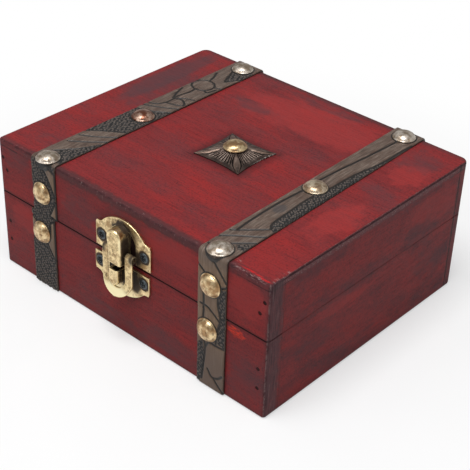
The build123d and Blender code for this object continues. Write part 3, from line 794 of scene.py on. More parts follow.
def right_strap_pattern():
    """The right strap: a long cut beside a crescent of beads, and panels below the seam."""
    tooling = Tooling(slant=-38)
    tooling.field((-over, 0), (-over, 20), (-4.6, 24), (-3.2, 17), (-3.8, 8), (-5.6, 0))
    tooling.cut((-5.4, 31.5), (-4.4, 26), (-3, 20.6), (-3.6, 12), (-4.6, 3))
    tooling.cut((6.9, 23.9), (3, 23.6), (-0.8, 23.6), (-2.8, 20.6))
    tooling.cut((-1.4, 9.6), (1, 6.6), (4.4, 7.4), (6.6, 9.6))
    tooling.cut((1.8, 6.4), (4.6, 3.6), (at_edge, 1.2))
    tooling.field((3.6, 25), (over, 24), (over, 53.5), (4.6, 52), (3.4, 45), (4.8, 38), (3.4, 31))
    tooling.cut((2.8, 24.4), (3.4, 31), (4.8, 38), (3.4, 45), (4.6, 52), (at_edge, 54.4))
    tooling.cut((-4.3, 47.5), (-4.1, 40.5), (-4.4, 33.5))
    tooling.cut((-5.8, 41), (-1.5, 40.6), (4.2, 36.6))
    tooling.cut((-at_edge, 59.4), (-5, 57.6), (-3.2, 56.3))
    tooling.cut((-6.5, 70), (-2.5, 67.2), (2.5, 62), (at_edge, 56.4))
    tooling.cut((-at_edge, 76.2), (-0.7, 82), (6.2, 87.3), (at_edge, 88.6))
    tooling.cut((-6.4, 82.8), (-4.4, 84.3), (0.8, 89.4), (5.2, 94))
    tooling.cut((0.4, 75.8), (4.4, 79.7), (7.4, 82.6))
    tooling.field((2.1, 76.4), (4.9, 79.2), (over, 81.8), (over, 75), (4.9, 74))
    tooling.cut((-4.5, 84.6), (-5.2, 96), (-5.1, 112), (-4.2, 126))
    tooling.cut((-4.3, 137), (-2.9, 153.7), (-1.2, 169.8), (0.4, 189))
    crescent = ((5.2, 94), (2.9, 98), (2.2, 109), (1.8, 117), (1.9, 125), (3.3, 135), (3.6, 146))
    tip = ((4.6, 155), (5.8, 162), (6.8, 172))
    tooling.field((over, 92.6), *crescent, *tip, (over, 176))
    tooling.cut(*crescent, *tip, (6.9, 182), (at_edge, 190))
    tooling.cut((6.9, 99), (7.3, 120), (7.2, 150))
    tooling.cut((-5, 202), (-4.4, 222), (-4.2, 240), (-5, run_length))
    tooling.field((2.4, 206), (over, 203), (over, 246), (4, 242), (2.6, 226))
    tooling.cut((2.4, 206), (2.6, 226), (4, 242), (at_edge, 248))
    return tooling


# Leather

leather_smooth = paint(99, 84, 74)
leather_light = paint(134, 118, 106)
leather_handled = paint(146, 116, 84)
leather_brown = paint(84, 64, 53)
leather_dark = paint(26, 23, 21)
leather_side_shade = paint(58, 47, 41)
leather_slate = paint(64, 62, 64)
leather_ground = paint(27, 26, 26)
leather_bead = paint(96, 85, 78)

# A dark patch on the right strap: across, along, and the strap's own place in the pattern
slate_patch = (-1.8, 108.0, 200.0)


def leather():
    """Dark stain rubbed back from the high leather, with fine lines along the strap."""
    finish = Finish("tooled_leather", "place")
    lines = finish.noise((0.4, 7.0, 1.0), 31, detail=3.0, roughness=0.6)
    mottle = finish.noise((3.0, 5.0, 1.0), 32, detail=4.0, roughness=0.6)
    specks = finish.noise((0.6, 0.8, 1.0), 33, detail=2.0)
    along = finish.axis("Y")
    cut, ground, bead, edge = [finish.attribute(name) for name in ("cut", "ground", "bead", "edge")]
    finish.colour = finish.mix(mottle.step(0.35, 0.7), leather_brown, leather_smooth)
    finish.cover(lines.step(0.5, 0.68) * 0.75, leather_light)
    finish.cover(lines.step(0.46, 0.28) * 0.75, leather_dark)
    finish.cover(specks.step(0.62, 0.75) * 0.35, leather_dark)
    finish.cover(along.step(lid_top + 2, lid_top - 8) * 0.4, leather_handled)
    finish.cover(along.step(34.0, 12.0) * 0.7, leather_brown)
    slate = finish.blot(slate_patch, (3.3, 4.6, 20.0), 34, ragged=0.4)
    finish.cover(slate * 0.6, leather_slate)
    finish.cover(ground, leather_ground)
    finish.cover(bead.step(0.35, 0.95) * (0.4 + mottle), leather_bead)
    # Cuts are dark, and so is the painted shadow round each tack, which the cut mark carries
    finish.cover(cut.step(0.1, 0.55) * 0.95, leather_dark)
    # Painted shade on the strap's sides and rounded edges
    shaded_side = (edge + (mottle - 0.5) * 0.8).step(0.45, 1.0)
    finish.cover(shaded_side * 0.7, leather_side_shade)
    rough = 0.46 + (mottle - 0.5) * 0.3 + ground * 0.12
    height = lines * 0.6 + specks * 0.4
    return finish.shade(height, 0.08, 0.7, Roughness=rough, Specular_IOR_Level=0.4)


leather_finish = leather()
grid_step = 0.29
strap_bend = 1.2
strap_end_slice = 0.2
seat_border = 0.5
tack_shadow_width = 0.55

# How far apart, in metres, the straps' fine patterns are read, so that no two are alike
pattern_gap = 0.1


def strap_run(along):
    """The strap's inner surface at places along it: Y, Z and the way out from the wood."""
    spots, ways = [], []
    for place in along:
        front = min(place, run_length - place)
        side = -1 if place < run_length / 2 else 1
        turn = np.clip((front - lid_top + strap_bend) / (2 * strap_bend), 0, 1) * pi / 2
        if front < lid_top - strap_bend:
            spot = (side * half_depth, front)
        elif front < lid_top + strap_bend:
            level = lid_top - strap_bend + strap_bend * sin(turn)
            spot = (side * (half_depth - strap_bend + strap_bend * cos(turn)), level)
        else:
            spot = (side * (half_depth - front + lid_top), lid_top)
        spots.append(spot)
        ways.append((side * cos(turn), sin(turn)))
    return np.array(spots), np.array(ways)


def strap_middles(name):
    """A strap's middle in front and behind, and its width."""
    points = points_of(name)
    middles = []
    for end in (points[:, 1].min(), points[:, 1].max()):
        near = points[abs(points[:, 1] - end) < strap_end_slice][:, 0]
        middles.append((near.min() + near.max()) / 2)
        width = near.max() - near.min()
    return middles, width


def seat_marks(points, seats):
    """1 under each tack's head, and a ring of painted shadow round it on the leather."""
    seated = np.zeros(len(points))
    ring = np.zeros(len(points))
    for seat in seats:
        gap = np.linalg.norm(points - seat, axis=1)
        seated = np.maximum(seated, 1 - soft_step(gap, tack_radius, tack_radius + seat_border))
        ring = np.maximum(ring, np.exp(-(((gap - tack_radius) / tack_shadow_width) ** 2)))
    return seated, ring


def strap_faces(rows, columns):
    """The faces of a closed strap: the tooled grid, both long edges, the foot and the ends.
    The foot has two points to a row, which come after the grid's."""
    count = rows * columns
    faces = []
    for row in range(rows - 1):
        first = row * columns
        last = first + columns - 1
        left, right = count + 2 * row, count + 2 * row + 1
        for corner in range(first, last):
            faces.append((corner, corner + 1, corner + columns + 1, corner + columns))
        faces.append((first, first + columns, left + 2, left))
        faces.append((last + columns, last, right, right + 2))
        faces.append((left, left + 2, right + 2, right))
    faces.append((*range(columns - 1, -1, -1), count, count + 1))
    top = count - columns
    faces.append((*range(top, count), count + 2 * rows - 1, count + 2 * rows - 2))
    return faces


def tooled_strap(name, body, tooling, start, end, seats, seed):
    """A strap as one closed mesh with its tooling in relief, between two places along it."""
    (front, back), width = strap_middles(name)
    rows = int((end - start) / grid_step) + 1
    columns = int(width / grid_step) + 1
    along = np.linspace(start, end, rows)
    across = np.linspace(-width / 2, width / 2, columns)
    places = np.array([(u, v) for v in along for u in across])
    borders = np.array([(u, v) for v in along for u in across[[0, -1]]])
    spots, ways = strap_run(along)
    middle = front + (back - front) * (spots[:, 0] + half_depth) / (2 * half_depth)
    low = np.repeat(spots, columns, axis=0)
    out = np.repeat(ways, columns, axis=0)
    x = np.repeat(middle, columns) + places[:, 0]
    depth, cut, ground, bead = tooling.press(places, np.random.default_rng(seed))
    seated, ring = seat_marks(np.column_stack([x, low + out * strap_thickness]), seats)
    slope = 1 - soft_step(width / 2 - abs(places[:, 0]), 0, edge_round)
    depth = depth * (1 - seated) + edge_drop * slope
    lift = strap_thickness - depth
    outer = np.column_stack([x, low + out * lift[:, None]])
    foot = np.column_stack([np.repeat(middle, 2) + borders[:, 0], np.repeat(spots, 2, axis=0)])
    place = np.vstack([places, borders]) * MM
    none = np.zeros(len(borders))
    piece = make_piece(
        name + "_leather",
        np.vstack([outer, foot]),
        strap_faces(rows, columns),
        leather_finish,
        place=np.column_stack([place, np.full(len(place), seed * pattern_gap)]),
        # The cut mark also carries the painted shadow ring round each tack
        cut=np.append(np.maximum(cut * (1 - seated), ring * 0.8), none),
        ground=np.append(ground, none),
        bead=np.append(bead * (1 - seated), none),
        edge=np.append(slope, none + 1),
    )
    settle(piece, body, "tooled_leather", name)


lid_tack_nodes = ("lid_edge_tacks", "lid_middle_tacks", "lid_front_tacks")
lid_tack_seats = [seat for name in lid_tack_nodes for seat in tack_seats(name)]
base_tack_seats = tack_seats("base_front_tacks")
strap_foot = box_of("base_front_left_strap")[0][2]
base_top = base_board_high[2]

# Each run of strap: its body, where it starts and ends, its tacks and its first seed
strap_runs = {
    "lid": ("lid", lid_foot, run_length - lid_foot, lid_tack_seats, 1),
    "base_front": ("base", strap_foot, base_top, base_tack_seats, 1),
    "base_rear": ("base", run_length - base_top, run_length - strap_foot, [], 3),
}
patterns = {"left": left_strap_pattern(), "right": right_strap_pattern()}
for run, (body, start, end, seats, seed) in strap_runs.items():
    for later, (side, pattern) in enumerate(patterns.items()):
        tooled_strap(f"{run}_{side}_strap", body, pattern, start, end, seats, seed + later)


# Metal finishes


def old_metal(name, tones, patina=0.5, rough=0.32, marked=True, rubbed=(), patina_and_shade=()):
    """Bright metal under brown patina, which stays in the hollows and wears off the edges, with
    painted shade in the hollows and a painted highlight on the edges. Fingers keep it clean where
    it is rubbed, and a painted highlight lies there too. Painted shade darkens where it is shaded:
    a place, and how far that reaches."""
    bright, warm, dark = [paint(*tone) for tone in tones]
    finish = Finish(name)
    cloud = finish.noise(3.4, 41, detail=5.0, roughness=0.62)
    stains = finish.noise(1.5, 42, detail=5.0, roughness=0.7, distortion=0.8)
    grit = finish.noise(0.35, 43, detail=2.0)
    dull = (cloud + (grit - 0.5) * 0.2).step(0.4, 0.66)
    hidden = stains.step(0.74 - patina * 0.3, 0.9 - patina * 0.25)
    finish.colour = finish.mix(dull, bright, warm)
    if marked:
        # The hollow mark darkens with patina and with painted shade
        hollow = finish.attribute("hollow") + (stains - 0.5) * 0.5
        polish_and_highlight = finish.attribute("ridge").step(0.06, 0.34)
        hidden = hidden.highest(hollow.step(0.06, 0.26))
        finish.cover(hollow.step(-0.1, 0.16) * 0.75, warm)
    # Painted shade on the shaded places
    for middle, reach in patina_and_shade:
        shade_blot = finish.blot(middle, reach, 45, ragged=0.4)
        hidden = shade_blot.highest(hidden)
        polish_and_highlight = polish_and_highlight * (1 - shade_blot * 0.9)
    # Rubbed places: clean brass, with a painted highlight
    for middle, reach in rubbed:
        clean_and_highlight = finish.blot(middle, reach, 44, ragged=0.3)
        hidden = hidden * (1 - clean_and_highlight * 0.9)
        finish.cover(clean_and_highlight, highlight_brass)
    if marked:
        hidden = hidden * (1 - polish_and_highlight * 0.75)
    finish.cover(hidden * 0.94, dark)
    if marked:
        # Ridges: worn bright, with a painted highlight
        finish.cover(polish_and_highlight * 0.85, bright)
    height = cloud * 0.5 + stains * 0.3 + grit * 0.2
    rough = rough + hidden * 0.3 + (grit - 0.5) * 0.2
    return finish.shade(height, 0.14, 0.4, Metallic=1 - hidden * 0.6, Roughness=rough)


highlight_brass = paint(255, 242, 196)
hasp_low, hasp_high = box_of("latch_hasp")
loop_front = box_of("latch_upper_plate")[0][1]
hasp_middle = (hasp_low[0] + hasp_high[0]) / 2
loop_middle_height = hasp_high[2] + 2
loop_half_width = 4.3
curl_offset = 8.9

# Where the latch is rubbed clean and painted bright: the tongue, rubbed by fingers and with a
# painted highlight, and the loop's right edge, a painted highlight
tongue = (hasp_middle + 0.6, hasp_low[1], hasp_low[2] - 0.6)
loop_edge = (hasp_middle + loop_half_width - 0.3, loop_front, loop_middle_height)
rubbed_and_highlit_places = [(tongue, (18.0, 8.0, 7.2)), (loop_edge, (0.9, 1.4, 12.0))]

# Where painted shade darkens it: the lower plate beside the catch, in the hasp's shadow, the curls
# and the loop's sides
beside_catch = (hasp_middle + 7.4, hasp_high[1], hasp_low[2] + 7.0)
shaded_places = [(beside_catch, (4.4, 2.4, 6.0))]
for side in (-1, 1):
    curl = (hasp_middle + side * curl_offset, hasp_low[1] + 4.8, hasp_high[2] - 1.2)
    loop_side = (hasp_middle + side * loop_half_width, loop_front + 3.6, loop_middle_height)
    shaded_places += [(curl, (3.4, 4.9, 4.2)), (loop_side, (1.1, 3.7, 9.5))]

# The bright, the warm and the dark tone of each metal, as screen values
latch_tones = [(252, 230, 178), (162, 132, 92), (42, 28, 21)]
hinge_tones = [(214, 194, 150), (168, 144, 104), (48, 36, 30)]
screw_tones = [(104, 112, 116), (58, 62, 65), (4, 4, 5)]
nail_tones = [(54, 33, 33), (38, 23, 24), (16, 10, 11)]
pin_tones = [(74, 58, 42), (52, 40, 30), (24, 18, 14)]
rubbed_and_shaded = {"rubbed": rubbed_and_highlit_places, "patina_and_shade": shaded_places}
latch_brass = old_metal("latch_brass", latch_tones, patina=0.68, **rubbed_and_shaded)
hinge_brass = old_metal("hinge_brass", hinge_tones, patina=0.7)
screw_steel = old_metal("screw_steel", screw_tones, patina=0.3, rough=0.45)
nail_steel = old_metal("nail_steel", nail_tones, rough=0.6, marked=False)
pin_brass = old_metal("pin_brass", pin_tones, patina=0.9, marked=False)
wear_finish(["lid_nails", "base_nails"], nail_steel)
wear_finish(["latch_pin", "hinge_left_pin", "hinge_right_pin"], pin_brass)


# Pressed and cast pieces: the CAD shape with soft edges, and its hollows and ridges marked

weld_gap = 0.001
ray_lift = 0.08
ray_levels = (0.25, 0.6, 0.9)
rays_round = 5
ridge_gain = 6

# The painted shadow round a screw's head, and its cross recess as shares of the head's radius
ring_shade_share = 0.6
ring_shade_reach = 0.9
slot_half_share = 0.24
slot_length_share = 0.68


def merged_copy(name):
    """A copy of a CAD node with its triangles joined."""
    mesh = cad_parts[name].data.copy()
    copy = bpy.data.objects.new(name + "_metal", mesh)
    bpy.context.scene.collection.objects.link(copy)
    weld = copy.modifiers.new("Weld", "WELD")
    weld.merge_threshold = weld_gap * MM
    return copy


def plain_mesh(source):
    """The evaluated mesh of an object as a mesh of its own, without the modifiers."""
    graph = bpy.context.evaluated_depsgraph_get()
    mesh = bpy.data.meshes.new_from_object(source.evaluated_get(graph))
    source.modifiers.clear()
    source.data = mesh
    return mesh


def mesh_arrays(mesh):
    """The points and the outward ways at them, in millimetres."""
    points = np.empty(len(mesh.vertices) * 3, np.float32)
    ways = np.empty(len(mesh.vertices) * 3, np.float32)
    mesh.vertices.foreach_get("co", points)
    mesh.vertex_normals.foreach_get("vector", ways)
    return points.reshape(-1, 3) / MM, ways.reshape(-1, 3)


def ridges(mesh, points, ways):
    """How far each point stands out from its neighbours, along its way out."""
    ends = np.empty(len(mesh.edges) * 2, np.int32)
    mesh.edges.foreach_get("vertices", ends)
    first, second = ends.reshape(-1, 2).T
    total = np.zeros_like(points)
    count = np.zeros(len(points))
    for near, far in ((first, second), (second, first)):
        np.add.at(total, near, points[far])
        np.add.at(count, near, 1)
    return ((points - total / count[:, None]) * ways).sum(axis=1)


ray_ways = []
for level in ray_levels:
    for spin in range(rays_round):
        turn = (spin + level) * 2 * pi / rays_round
        flat = sqrt(1 - level * level)
        ray_ways.append(Vector((flat * cos(turn), flat * sin(turn), level)))


def hollows(points, ways, walls, reach):
    """The share of rays from each point that meet a wall within a reach."""
    shares = np.zeros(len(points))
    for place, (point, way) in enumerate(zip(points, ways)):
        way = Vector(way)
        turn = way.to_track_quat("Z", "Y").to_matrix()
        start = Vector(point) + way * ray_lift
        hits = [walls.ray_cast(start, turn @ ray, reach)[0] for ray in ray_ways]
        shares[place] = sum(hit is not None for hit in hits) / len(hits)
    return shares


def wall_tree(names):
    """The triangles of several nodes, to cast rays at, in millimetres."""
    points, triangles = [], []
    for name in names:
        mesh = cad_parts[name].data
        mesh.calc_loop_triangles()
        start = len(points)
        points += [vertex.co / MM for vertex in mesh.vertices]
        for triangle in mesh.loop_triangles:
            triangles.append([start + corner for corner in triangle.vertices])
    return BVHTree.FromPolygons(points, triangles)


def away_from_screws(points, node):
    """For each screw in a node, the way to each point across its head, and the head's radius."""
    for solid in solids_of(node):
        low, high = solid.min(axis=0), solid.max(axis=0)
        yield (points - (low + high) / 2)[:, ::2], (high[2] - low[2]) / 2


def screw_shadow_rings(points, node):
    """1 beside a screw's head, where a painted shadow falls, and 0 away from it."""
    rings = np.zeros(len(points))
    for away, radius in away_from_screws(points, node):
        gap = np.maximum(np.linalg.norm(away, axis=1) - radius, 0)
        rings = np.maximum(rings, ring_shade_share * np.exp(-((gap / ring_shade_reach) ** 2)))
    return rings


def screw_slots(points, node):
    """1 in and beside the cross recess of each screw in a node, where painted shade is blackest."""
    slots = np.zeros(len(points))
    for away, radius in away_from_screws(points, node):
        shares = abs(away) / radius
        beside = np.exp(-((shares.min(axis=1) / slot_half_share) ** 2))
        slots = np.maximum(slots, beside * (shares.max(axis=1) < slot_length_share))
    return slots


def cast_piece(name, body, material, slot, walls, voxel=0.2, rounds=3, reach=4.0, screws=None):
    """A CAD node again with soft edges, for a metal that shows where it is worn, with its painted
    shade and highlights.
    """
    piece = merged_copy(name)
    remesh = piece.modifiers.new("Remesh", "REMESH")
    remesh.mode = "VOXEL"
    remesh.voxel_size = voxel * MM
    smooth = piece.modifiers.new("Smooth", "SMOOTH")
    smooth.factor = 0.5
    smooth.iterations = rounds
    mesh = plain_mesh(piece)
    points, ways = mesh_arrays(mesh)
    # The hollow mark: patina in the hollows, with painted shade besides: the share of rays that
    # meet a wall, the painted shadow round screws and the painted black of cross recesses
    patina_and_shade = hollows(points, ways, walls, reach)
    ridge = ridges(mesh, points, ways) / voxel * ridge_gain
    if screws:
        patina_and_shade = np.maximum(patina_and_shade, screw_shadow_rings(points, screws))
    if slot == "dark_screws":
        slots = screw_slots(points, name)
        patina_and_shade = np.maximum(patina_and_shade, slots)
        ridge = ridge * (1 - slots)
    for label, values in {"ridge": ridge, "hollow": patina_and_shade}.items():
        mark = mesh.attributes.new(label, "FLOAT", "POINT")
        mark.data.foreach_set("value", np.asarray(values, np.float32))
    mesh.polygons.foreach_set("use_smooth", [True] * len(mesh.polygons))
    mesh.materials.clear()
    mesh.materials.append(material)
    settle(piece, body, slot, name)


def cast_screws(name, body):
    """A node's screws, with painted shade black in their cross recesses."""
    walls = wall_tree([name])
    cast_piece(name, body, screw_steel, "dark_screws", walls, voxel=0.12, rounds=2, reach=1.0)


latch_plates = ["latch_upper_plate", "latch_lower_plate", "latch_hasp"]
latch_walls = wall_tree([*latch_plates, "latch_upper_screws", "latch_lower_screws"])
for level, body in (("upper", "lid"), ("lower", "base")):
    plate, screws = f"latch_{level}_plate", f"latch_{level}_screws"
    cast_piece(plate, body, latch_brass, "latch_brass", latch_walls, screws=screws)
    cast_screws(screws, body)
cast_piece("latch_hasp", "hasp", latch_brass, "latch_brass", latch_walls)
for side in ("left", "right"):
    leaves = [f"hinge_{side}_lid_leaf", f"hinge_{side}_base_leaf"]
    hinge_walls = wall_tree([*leaves, "hinge_lid_screws", "hinge_base_screws"])
    for leaf, body in zip(leaves, ("lid", "base")):
        screws = f"hinge_{body}_screws"
        cast_piece(leaf, body, hinge_brass, "hinge_brass", hinge_walls, 0.25, screws=screws)
for body in ("lid", "base"):
    cast_screws(f"hinge_{body}_screws", body)


# Domed tacks, made by Geometry Nodes on their seats


class Growth(NodeTree):
    """A Geometry Nodes tree with named inputs."""

    kinds = {
        "geometry": "NodeSocketGeometry",
        "size": "NodeSocketFloat",
        "count": "NodeSocketInt",
        "material": "NodeSocketMaterial",
    }

    def __init__(self, name, inputs):
        super().__init__(bpy.data.node_groups.new(name, "GeometryNodeTree"))
        self.keys = {}
        new_socket = self.tree.interface.new_socket
        for label, kind in inputs.items():
            socket = new_socket(label, in_out="INPUT", socket_type=self.kinds[kind])
            self.keys[label] = socket.identifier
        new_socket("Geometry", in_out="OUTPUT", socket_type=self.kinds["geometry"])
        self.entry = self.tree.nodes.new("NodeGroupInput")

    def input(self, label):
        return Field(self, self.entry.outputs[label])

    def stored(self, name, kind="FLOAT"):
        """An attribute that the points carry."""
        return self.add("GeometryNodeInputNamedAttribute", {"data_type": kind}, {"Name": name})

    def vector(self, x, y, z):
        return self.add("ShaderNodeCombineXYZ", {}, {"X": x, "Y": y, "Z": z})

    def end(self, geometry):
        self.add("NodeGroupOutput", {}, {"Geometry": geometry})

    def grow(self, name, seats, values):
        """A piece that this tree makes from seats, as a plain mesh."""
        modifier = seats.modifiers.new("Growth", "NODES")
        modifier.node_group = self.tree
        for label, value in values.items():
            modifier[self.keys[label]] = value
        mesh = plain_mesh(seats)
        seats.name = mesh.name = name
        return seats


dome_profile = [
    (0.0, 1.0),
    (0.28, 0.965),
    (0.52, 0.865),
    (0.7, 0.71),
    (0.82, 0.53),
    (0.9, 0.33),
    (0.94, 0.17),
    (0.97, 0.17),
    (1.0, 0.1),
]
tack_inputs = {
    "Seats": "geometry",
    "Radius": "size",
    "Height": "size",
    "Shank Radius": "size",
    "Shank Length": "size",
    "Dent": "size",
    "Dent Size": "size",
    "Seed": "count",
    "Finish": "material",
}


def domed_head(tree, place):
    """A ball pressed into a dome with a thin rim, which keeps its rise at each point."""
    ball = tree.add("GeometryNodeMeshUVSphere", {}, {"Segments": 56, "Rings": 40, "Radius": 1.0})
    x, y, z = [tree.add("ShaderNodeSeparateXYZ", {}, {0: place}, axis) for axis in "XYZ"]
    reach = tree.add("ShaderNodeMath", {"operation": "SQRT"}, {0: x * x + y * y})
    rise = tree.add("ShaderNodeFloatCurve", {"curve": dome_profile}, {"Value": reach})
    rise = rise * z.math("GREATER_THAN", z, 0.0)
    radius = tree.input("Radius")
    moved = tree.vector(x * radius, y * radius, rise * tree.input("Height"))
    dome = tree.add("GeometryNodeSetPosition", {}, {"Geometry": ball, "Position": moved})
    kind = {"data_type": "FLOAT", "domain": "POINT"}
    kept = {"Geometry": dome, "Name": "rise", "Value": rise}
    return tree.add("GeometryNodeStoreNamedAttribute", kind, kept)


def pointed_shank(tree):
    """The tack's shank, with its point down."""
    sizes = {
        "Vertices": 12,
        "Radius Top": 0.0,
        "Radius Bottom": tree.input("Shank Radius"),
        "Depth": tree.input("Shank Length"),
    }
    cone = tree.add("GeometryNodeMeshCone", {}, sizes)
    return tree.add("GeometryNodeTransform", {}, {"Geometry": cone, "Rotation": (pi, 0.0, 0.0)})


def tack_tree():
    """Domed heads on pointed shanks, each turned and dented by its own draw."""
    tree = Growth("domed_tacks", tack_inputs)
    place = tree.add("GeometryNodeInputPosition")
    tack = tree.add("GeometryNodeJoinGeometry")
    for part in (domed_head(tree, place), pointed_shank(tree)):
        tree.tree.links.new(part.socket, tack.socket.node.inputs[0])
    facing = {"Vector": tree.stored("facing", "FLOAT_VECTOR")}
    upright = tree.add("FunctionNodeAlignRotationToVector", {"axis": "Z"}, facing)
    draw = {2: 0.0, 3: 2 * pi, "Seed": tree.input("Seed")}
    spin = tree.add("FunctionNodeRandomValue", {"data_type": "FLOAT"}, draw, 1)
    spin = {"Axis": (0.0, 0.0, 1.0), "Angle": spin}
    spin = tree.add("FunctionNodeAxisAngleToRotation", {}, spin)
    local = {"rotation_space": "LOCAL"}
    turn = tree.add("FunctionNodeRotateRotation", local, {0: upright, 1: spin})
    placed = {"Points": tree.input("Seats"), "Instance": tack, "Rotation": turn}
    tacks = tree.add("GeometryNodeInstanceOnPoints", {}, placed)
    tacks = tree.add("GeometryNodeRealizeInstances", {}, {"Geometry": tacks})
    size = tree.input("Dent Size")
    scaled = {0: place, 1: tree.vector(size, size, size)}
    scaled = tree.add("ShaderNodeVectorMath", {"operation": "DIVIDE"}, scaled)
    dents = {"Vector": scaled, "Scale": 1.0, "Detail": 2.0, "Roughness": 0.55}
    dents = tree.add("ShaderNodeTexNoise", {}, dents)
    push = (dents - 0.62) * tree.input("Dent") * tree.stored("rise")
    push = {0: tree.add("GeometryNodeInputNormal"), "Scale": push}
    offset = tree.add("ShaderNodeVectorMath", {"operation": "SCALE"}, push)
    tacks = tree.add("GeometryNodeSetPosition", {}, {"Geometry": tacks, "Offset": offset})
    tacks = tree.add("GeometryNodeSetShadeSmooth", {}, {"Geometry": tacks})
    painted = {"Geometry": tacks, "Material": tree.input("Finish")}
    tree.end(tree.add("GeometryNodeSetMaterial", {}, painted))
    return tree


def tack_metal():
    """Silvery to gold plate over brown patina, mottled as if hammered."""
    finish = Finish("antique_tacks")
    tone = finish.attribute("tone")
    rise = finish.attribute("rise")
    cloud = finish.noise(3.0, 51, detail=4.0, roughness=0.55)
    stains = finish.noise(1.9, 52, detail=5.0, roughness=0.66, distortion=0.5)
    grit = finish.noise(0.4, 53, detail=2.0)
    soft = cloud.step(0.38, 0.62)
    gold = finish.mix(soft, paint(232, 208, 164), paint(164, 130, 92))
    copper = finish.mix(soft, paint(212, 180, 160), paint(122, 72, 52))
    finish.colour = finish.mix(soft, paint(236, 224, 210), paint(166, 148, 128))
    finish.cover(tone.step(0.2, 0.8), gold)
    finish.cover(tone.step(1.2, 1.8), copper)
    # Patina darkens each dome toward its rim, with painted shade there besides
    low = (rise + (stains - 0.5) * 0.9).step(0.66, 0.26) * rise.step(0.18, 0.22)
    hidden = (stains.step(0.5, 0.7) * 0.8).highest(low)
    finish.cover(hidden * 0.88, paint(68, 48, 35))
    height = cloud * 0.6 + stains * 0.4
    rough = 0.34 + hidden * 0.2 + (grit - 0.5) * 0.2
    return finish.shade(height, 0.16, 0.22, Metallic=1 - hidden * 0.4, Roughness=rough)


def seat_points(name, rows):
    """Points on the seats, each with the way that its tack faces and its tone of metal."""
    seats, tones, facings = [], [], []
    for node, node_tones in rows.items():
        seats += tack_seats(node)
        tones += node_tones
        facings += [(0, -1, 0) if tack_nodes[node][0] == 1 else (0, 0, 1)] * len(node_tones)
    return make_piece(name, seats, [], tack_finish, tone=tones, facing=facings)


silver, half_gold, gold, copper = 0.0, 0.5, 1.0, 2.0
tack_rows = {
    "lid": {
        "lid_edge_tacks": [silver] * 4,
        "lid_middle_tacks": [copper, half_gold],
        "lid_front_tacks": [gold] * 2,
        "ornament_tack": [gold],
    },
    "base": {"base_front_tacks": [gold] * 2},
}
tack_finish = tack_metal()
tacks = tack_tree()
tack_seed = 7
tack_values = {
    "Radius": tack_radius * MM,
    "Height": tack_height * MM,
    "Shank Radius": 0.75 * MM,
    "Shank Length": 3.4 * MM,
    "Dent": 0.24 * MM,
    "Dent Size": 3.6 * MM,
    "Seed": tack_seed,
    "Finish": tack_finish,
}
for body, rows in tack_rows.items():
    name = body + "_domed_tacks"
    piece = tacks.grow(name, seat_points(name, rows), tack_values)
    settle(piece, body, "antique_tacks", *rows)


# The fluted ornament

flutes_on_side = 13
ornament_hub = 4.2
ornament_rim_height = 0.5
ornament_rim_drop = 0.2
side_sag = 1.1
flute_height = 0.75
petal_half_share = 0.135
points_around, rings_outward = 480, 44


def ornament_border(turn):
    """The ornament's border: four sides that curve in a little between its corners."""
    side = np.floor(turn).astype(int) % 4
    share = turn - np.floor(turn)
    corners = np.array([(1, 1), (-1, 1), (-1, -1), (1, -1), (1, 1)])
    start, end = corners[side], corners[side + 1]
    reach = (ornament_high - ornament_low)[:2] / 2
    border = (start + (end - start) * share[:, None]) * reach
    sag = 4 * share * (1 - share) * side_sag
    return border - sag[:, None] * (start + end) / 2


def fluting(out, share):
    """The flutes and petals on one ring round the ornament: the height that they add, as a
    share of a flute's, and how much of each point is a leaf's pale outline."""
    from_corner = np.minimum(share, 1 - share)
    wave = abs(np.sin(share * pi * flutes_on_side))
    fade = soft_step(out, 0.0, 0.12) * (1 - soft_step(out, 0.62, 0.86))
    half_petal = 0.01 + petal_half_share * sin(pi * min(1.0, out * 1.02)) ** 0.8
    petal = 1 - soft_step(from_corner, half_petal * 0.6, half_petal)
    gutter = np.exp(-(((from_corner - half_petal * 1.25) / 0.014) ** 2))
    ridge = -((1 - wave) ** 2) * fade * (1 - petal) * (1 - gutter)
    swell = sin(pi * out) ** 0.5 if 0 < out < 1 else 0.0
    ridge = ridge - gutter * 0.9 * swell + petal * 0.5 * swell
    outline = np.exp(-(((from_corner - half_petal * 0.8) / 0.018) ** 2))
    return ridge, np.maximum(petal * 0.3, outline) * swell


def ring_faces(rings, around):
    """Faces between rings of points, one above the other, closed at both ends."""
    faces = [tuple(range(around))]
    for ring in range(rings - 1):
        for step in range(around):
            after = (step + 1) % around
            near, far = ring * around, (ring + 1) * around
            faces.append((near + step, far + step, far + after, near + after))
    last = (rings - 1) * around
    faces.append(tuple(range(last + around - 1, last - 1, -1)))
    return faces


def ornament_plate():
    """A low four-sided peak with fine flutes down its sides and a petal on each corner."""
    turn = np.arange(points_around) / points_around * 4
    border = ornament_border(turn)
    middle = (ornament_low + ornament_high) / 2
    height = ornament_high[2] - ornament_low[2]
    hub_share = ornament_hub / np.linalg.norm(border, axis=1)
    rings, grooves, leaves, outs = [], [], [], []
    for step in range(rings_outward):
        out = step / (rings_outward - 1)
        ridge, leaf = fluting(out, turn - np.floor(turn))
        slope = height + (ornament_rim_height - height) * out**0.72
        reach = hub_share + (1 - hub_share) * out
        flat = border * reach[:, None] + middle[:2]
        rings.append(np.column_stack([flat, ornament_low[2] + (slope + ridge * flute_height)]))
        grooves.append(np.clip(-ridge, 0, 1))
        leaves.append(leaf)
        outs.append(np.full(points_around, out))
    rim, foot = rings[-1].copy(), rings[-1].copy()
    rim[:, 2] -= ornament_rim_drop
    foot[:, 2] = ornament_low[2]
    none, full = np.zeros(points_around), np.ones(points_around)
    marks = {
        "groove": [*grooves, full * 0.4, full],
        "out": [*outs, full, full],
        "leaf": [*leaves, none, none],
    }
    marks = {label: np.concatenate(values) for label, values in marks.items()}
    rings += [rim, foot]
    return np.vstack(rings), ring_faces(len(rings), points_around), marks


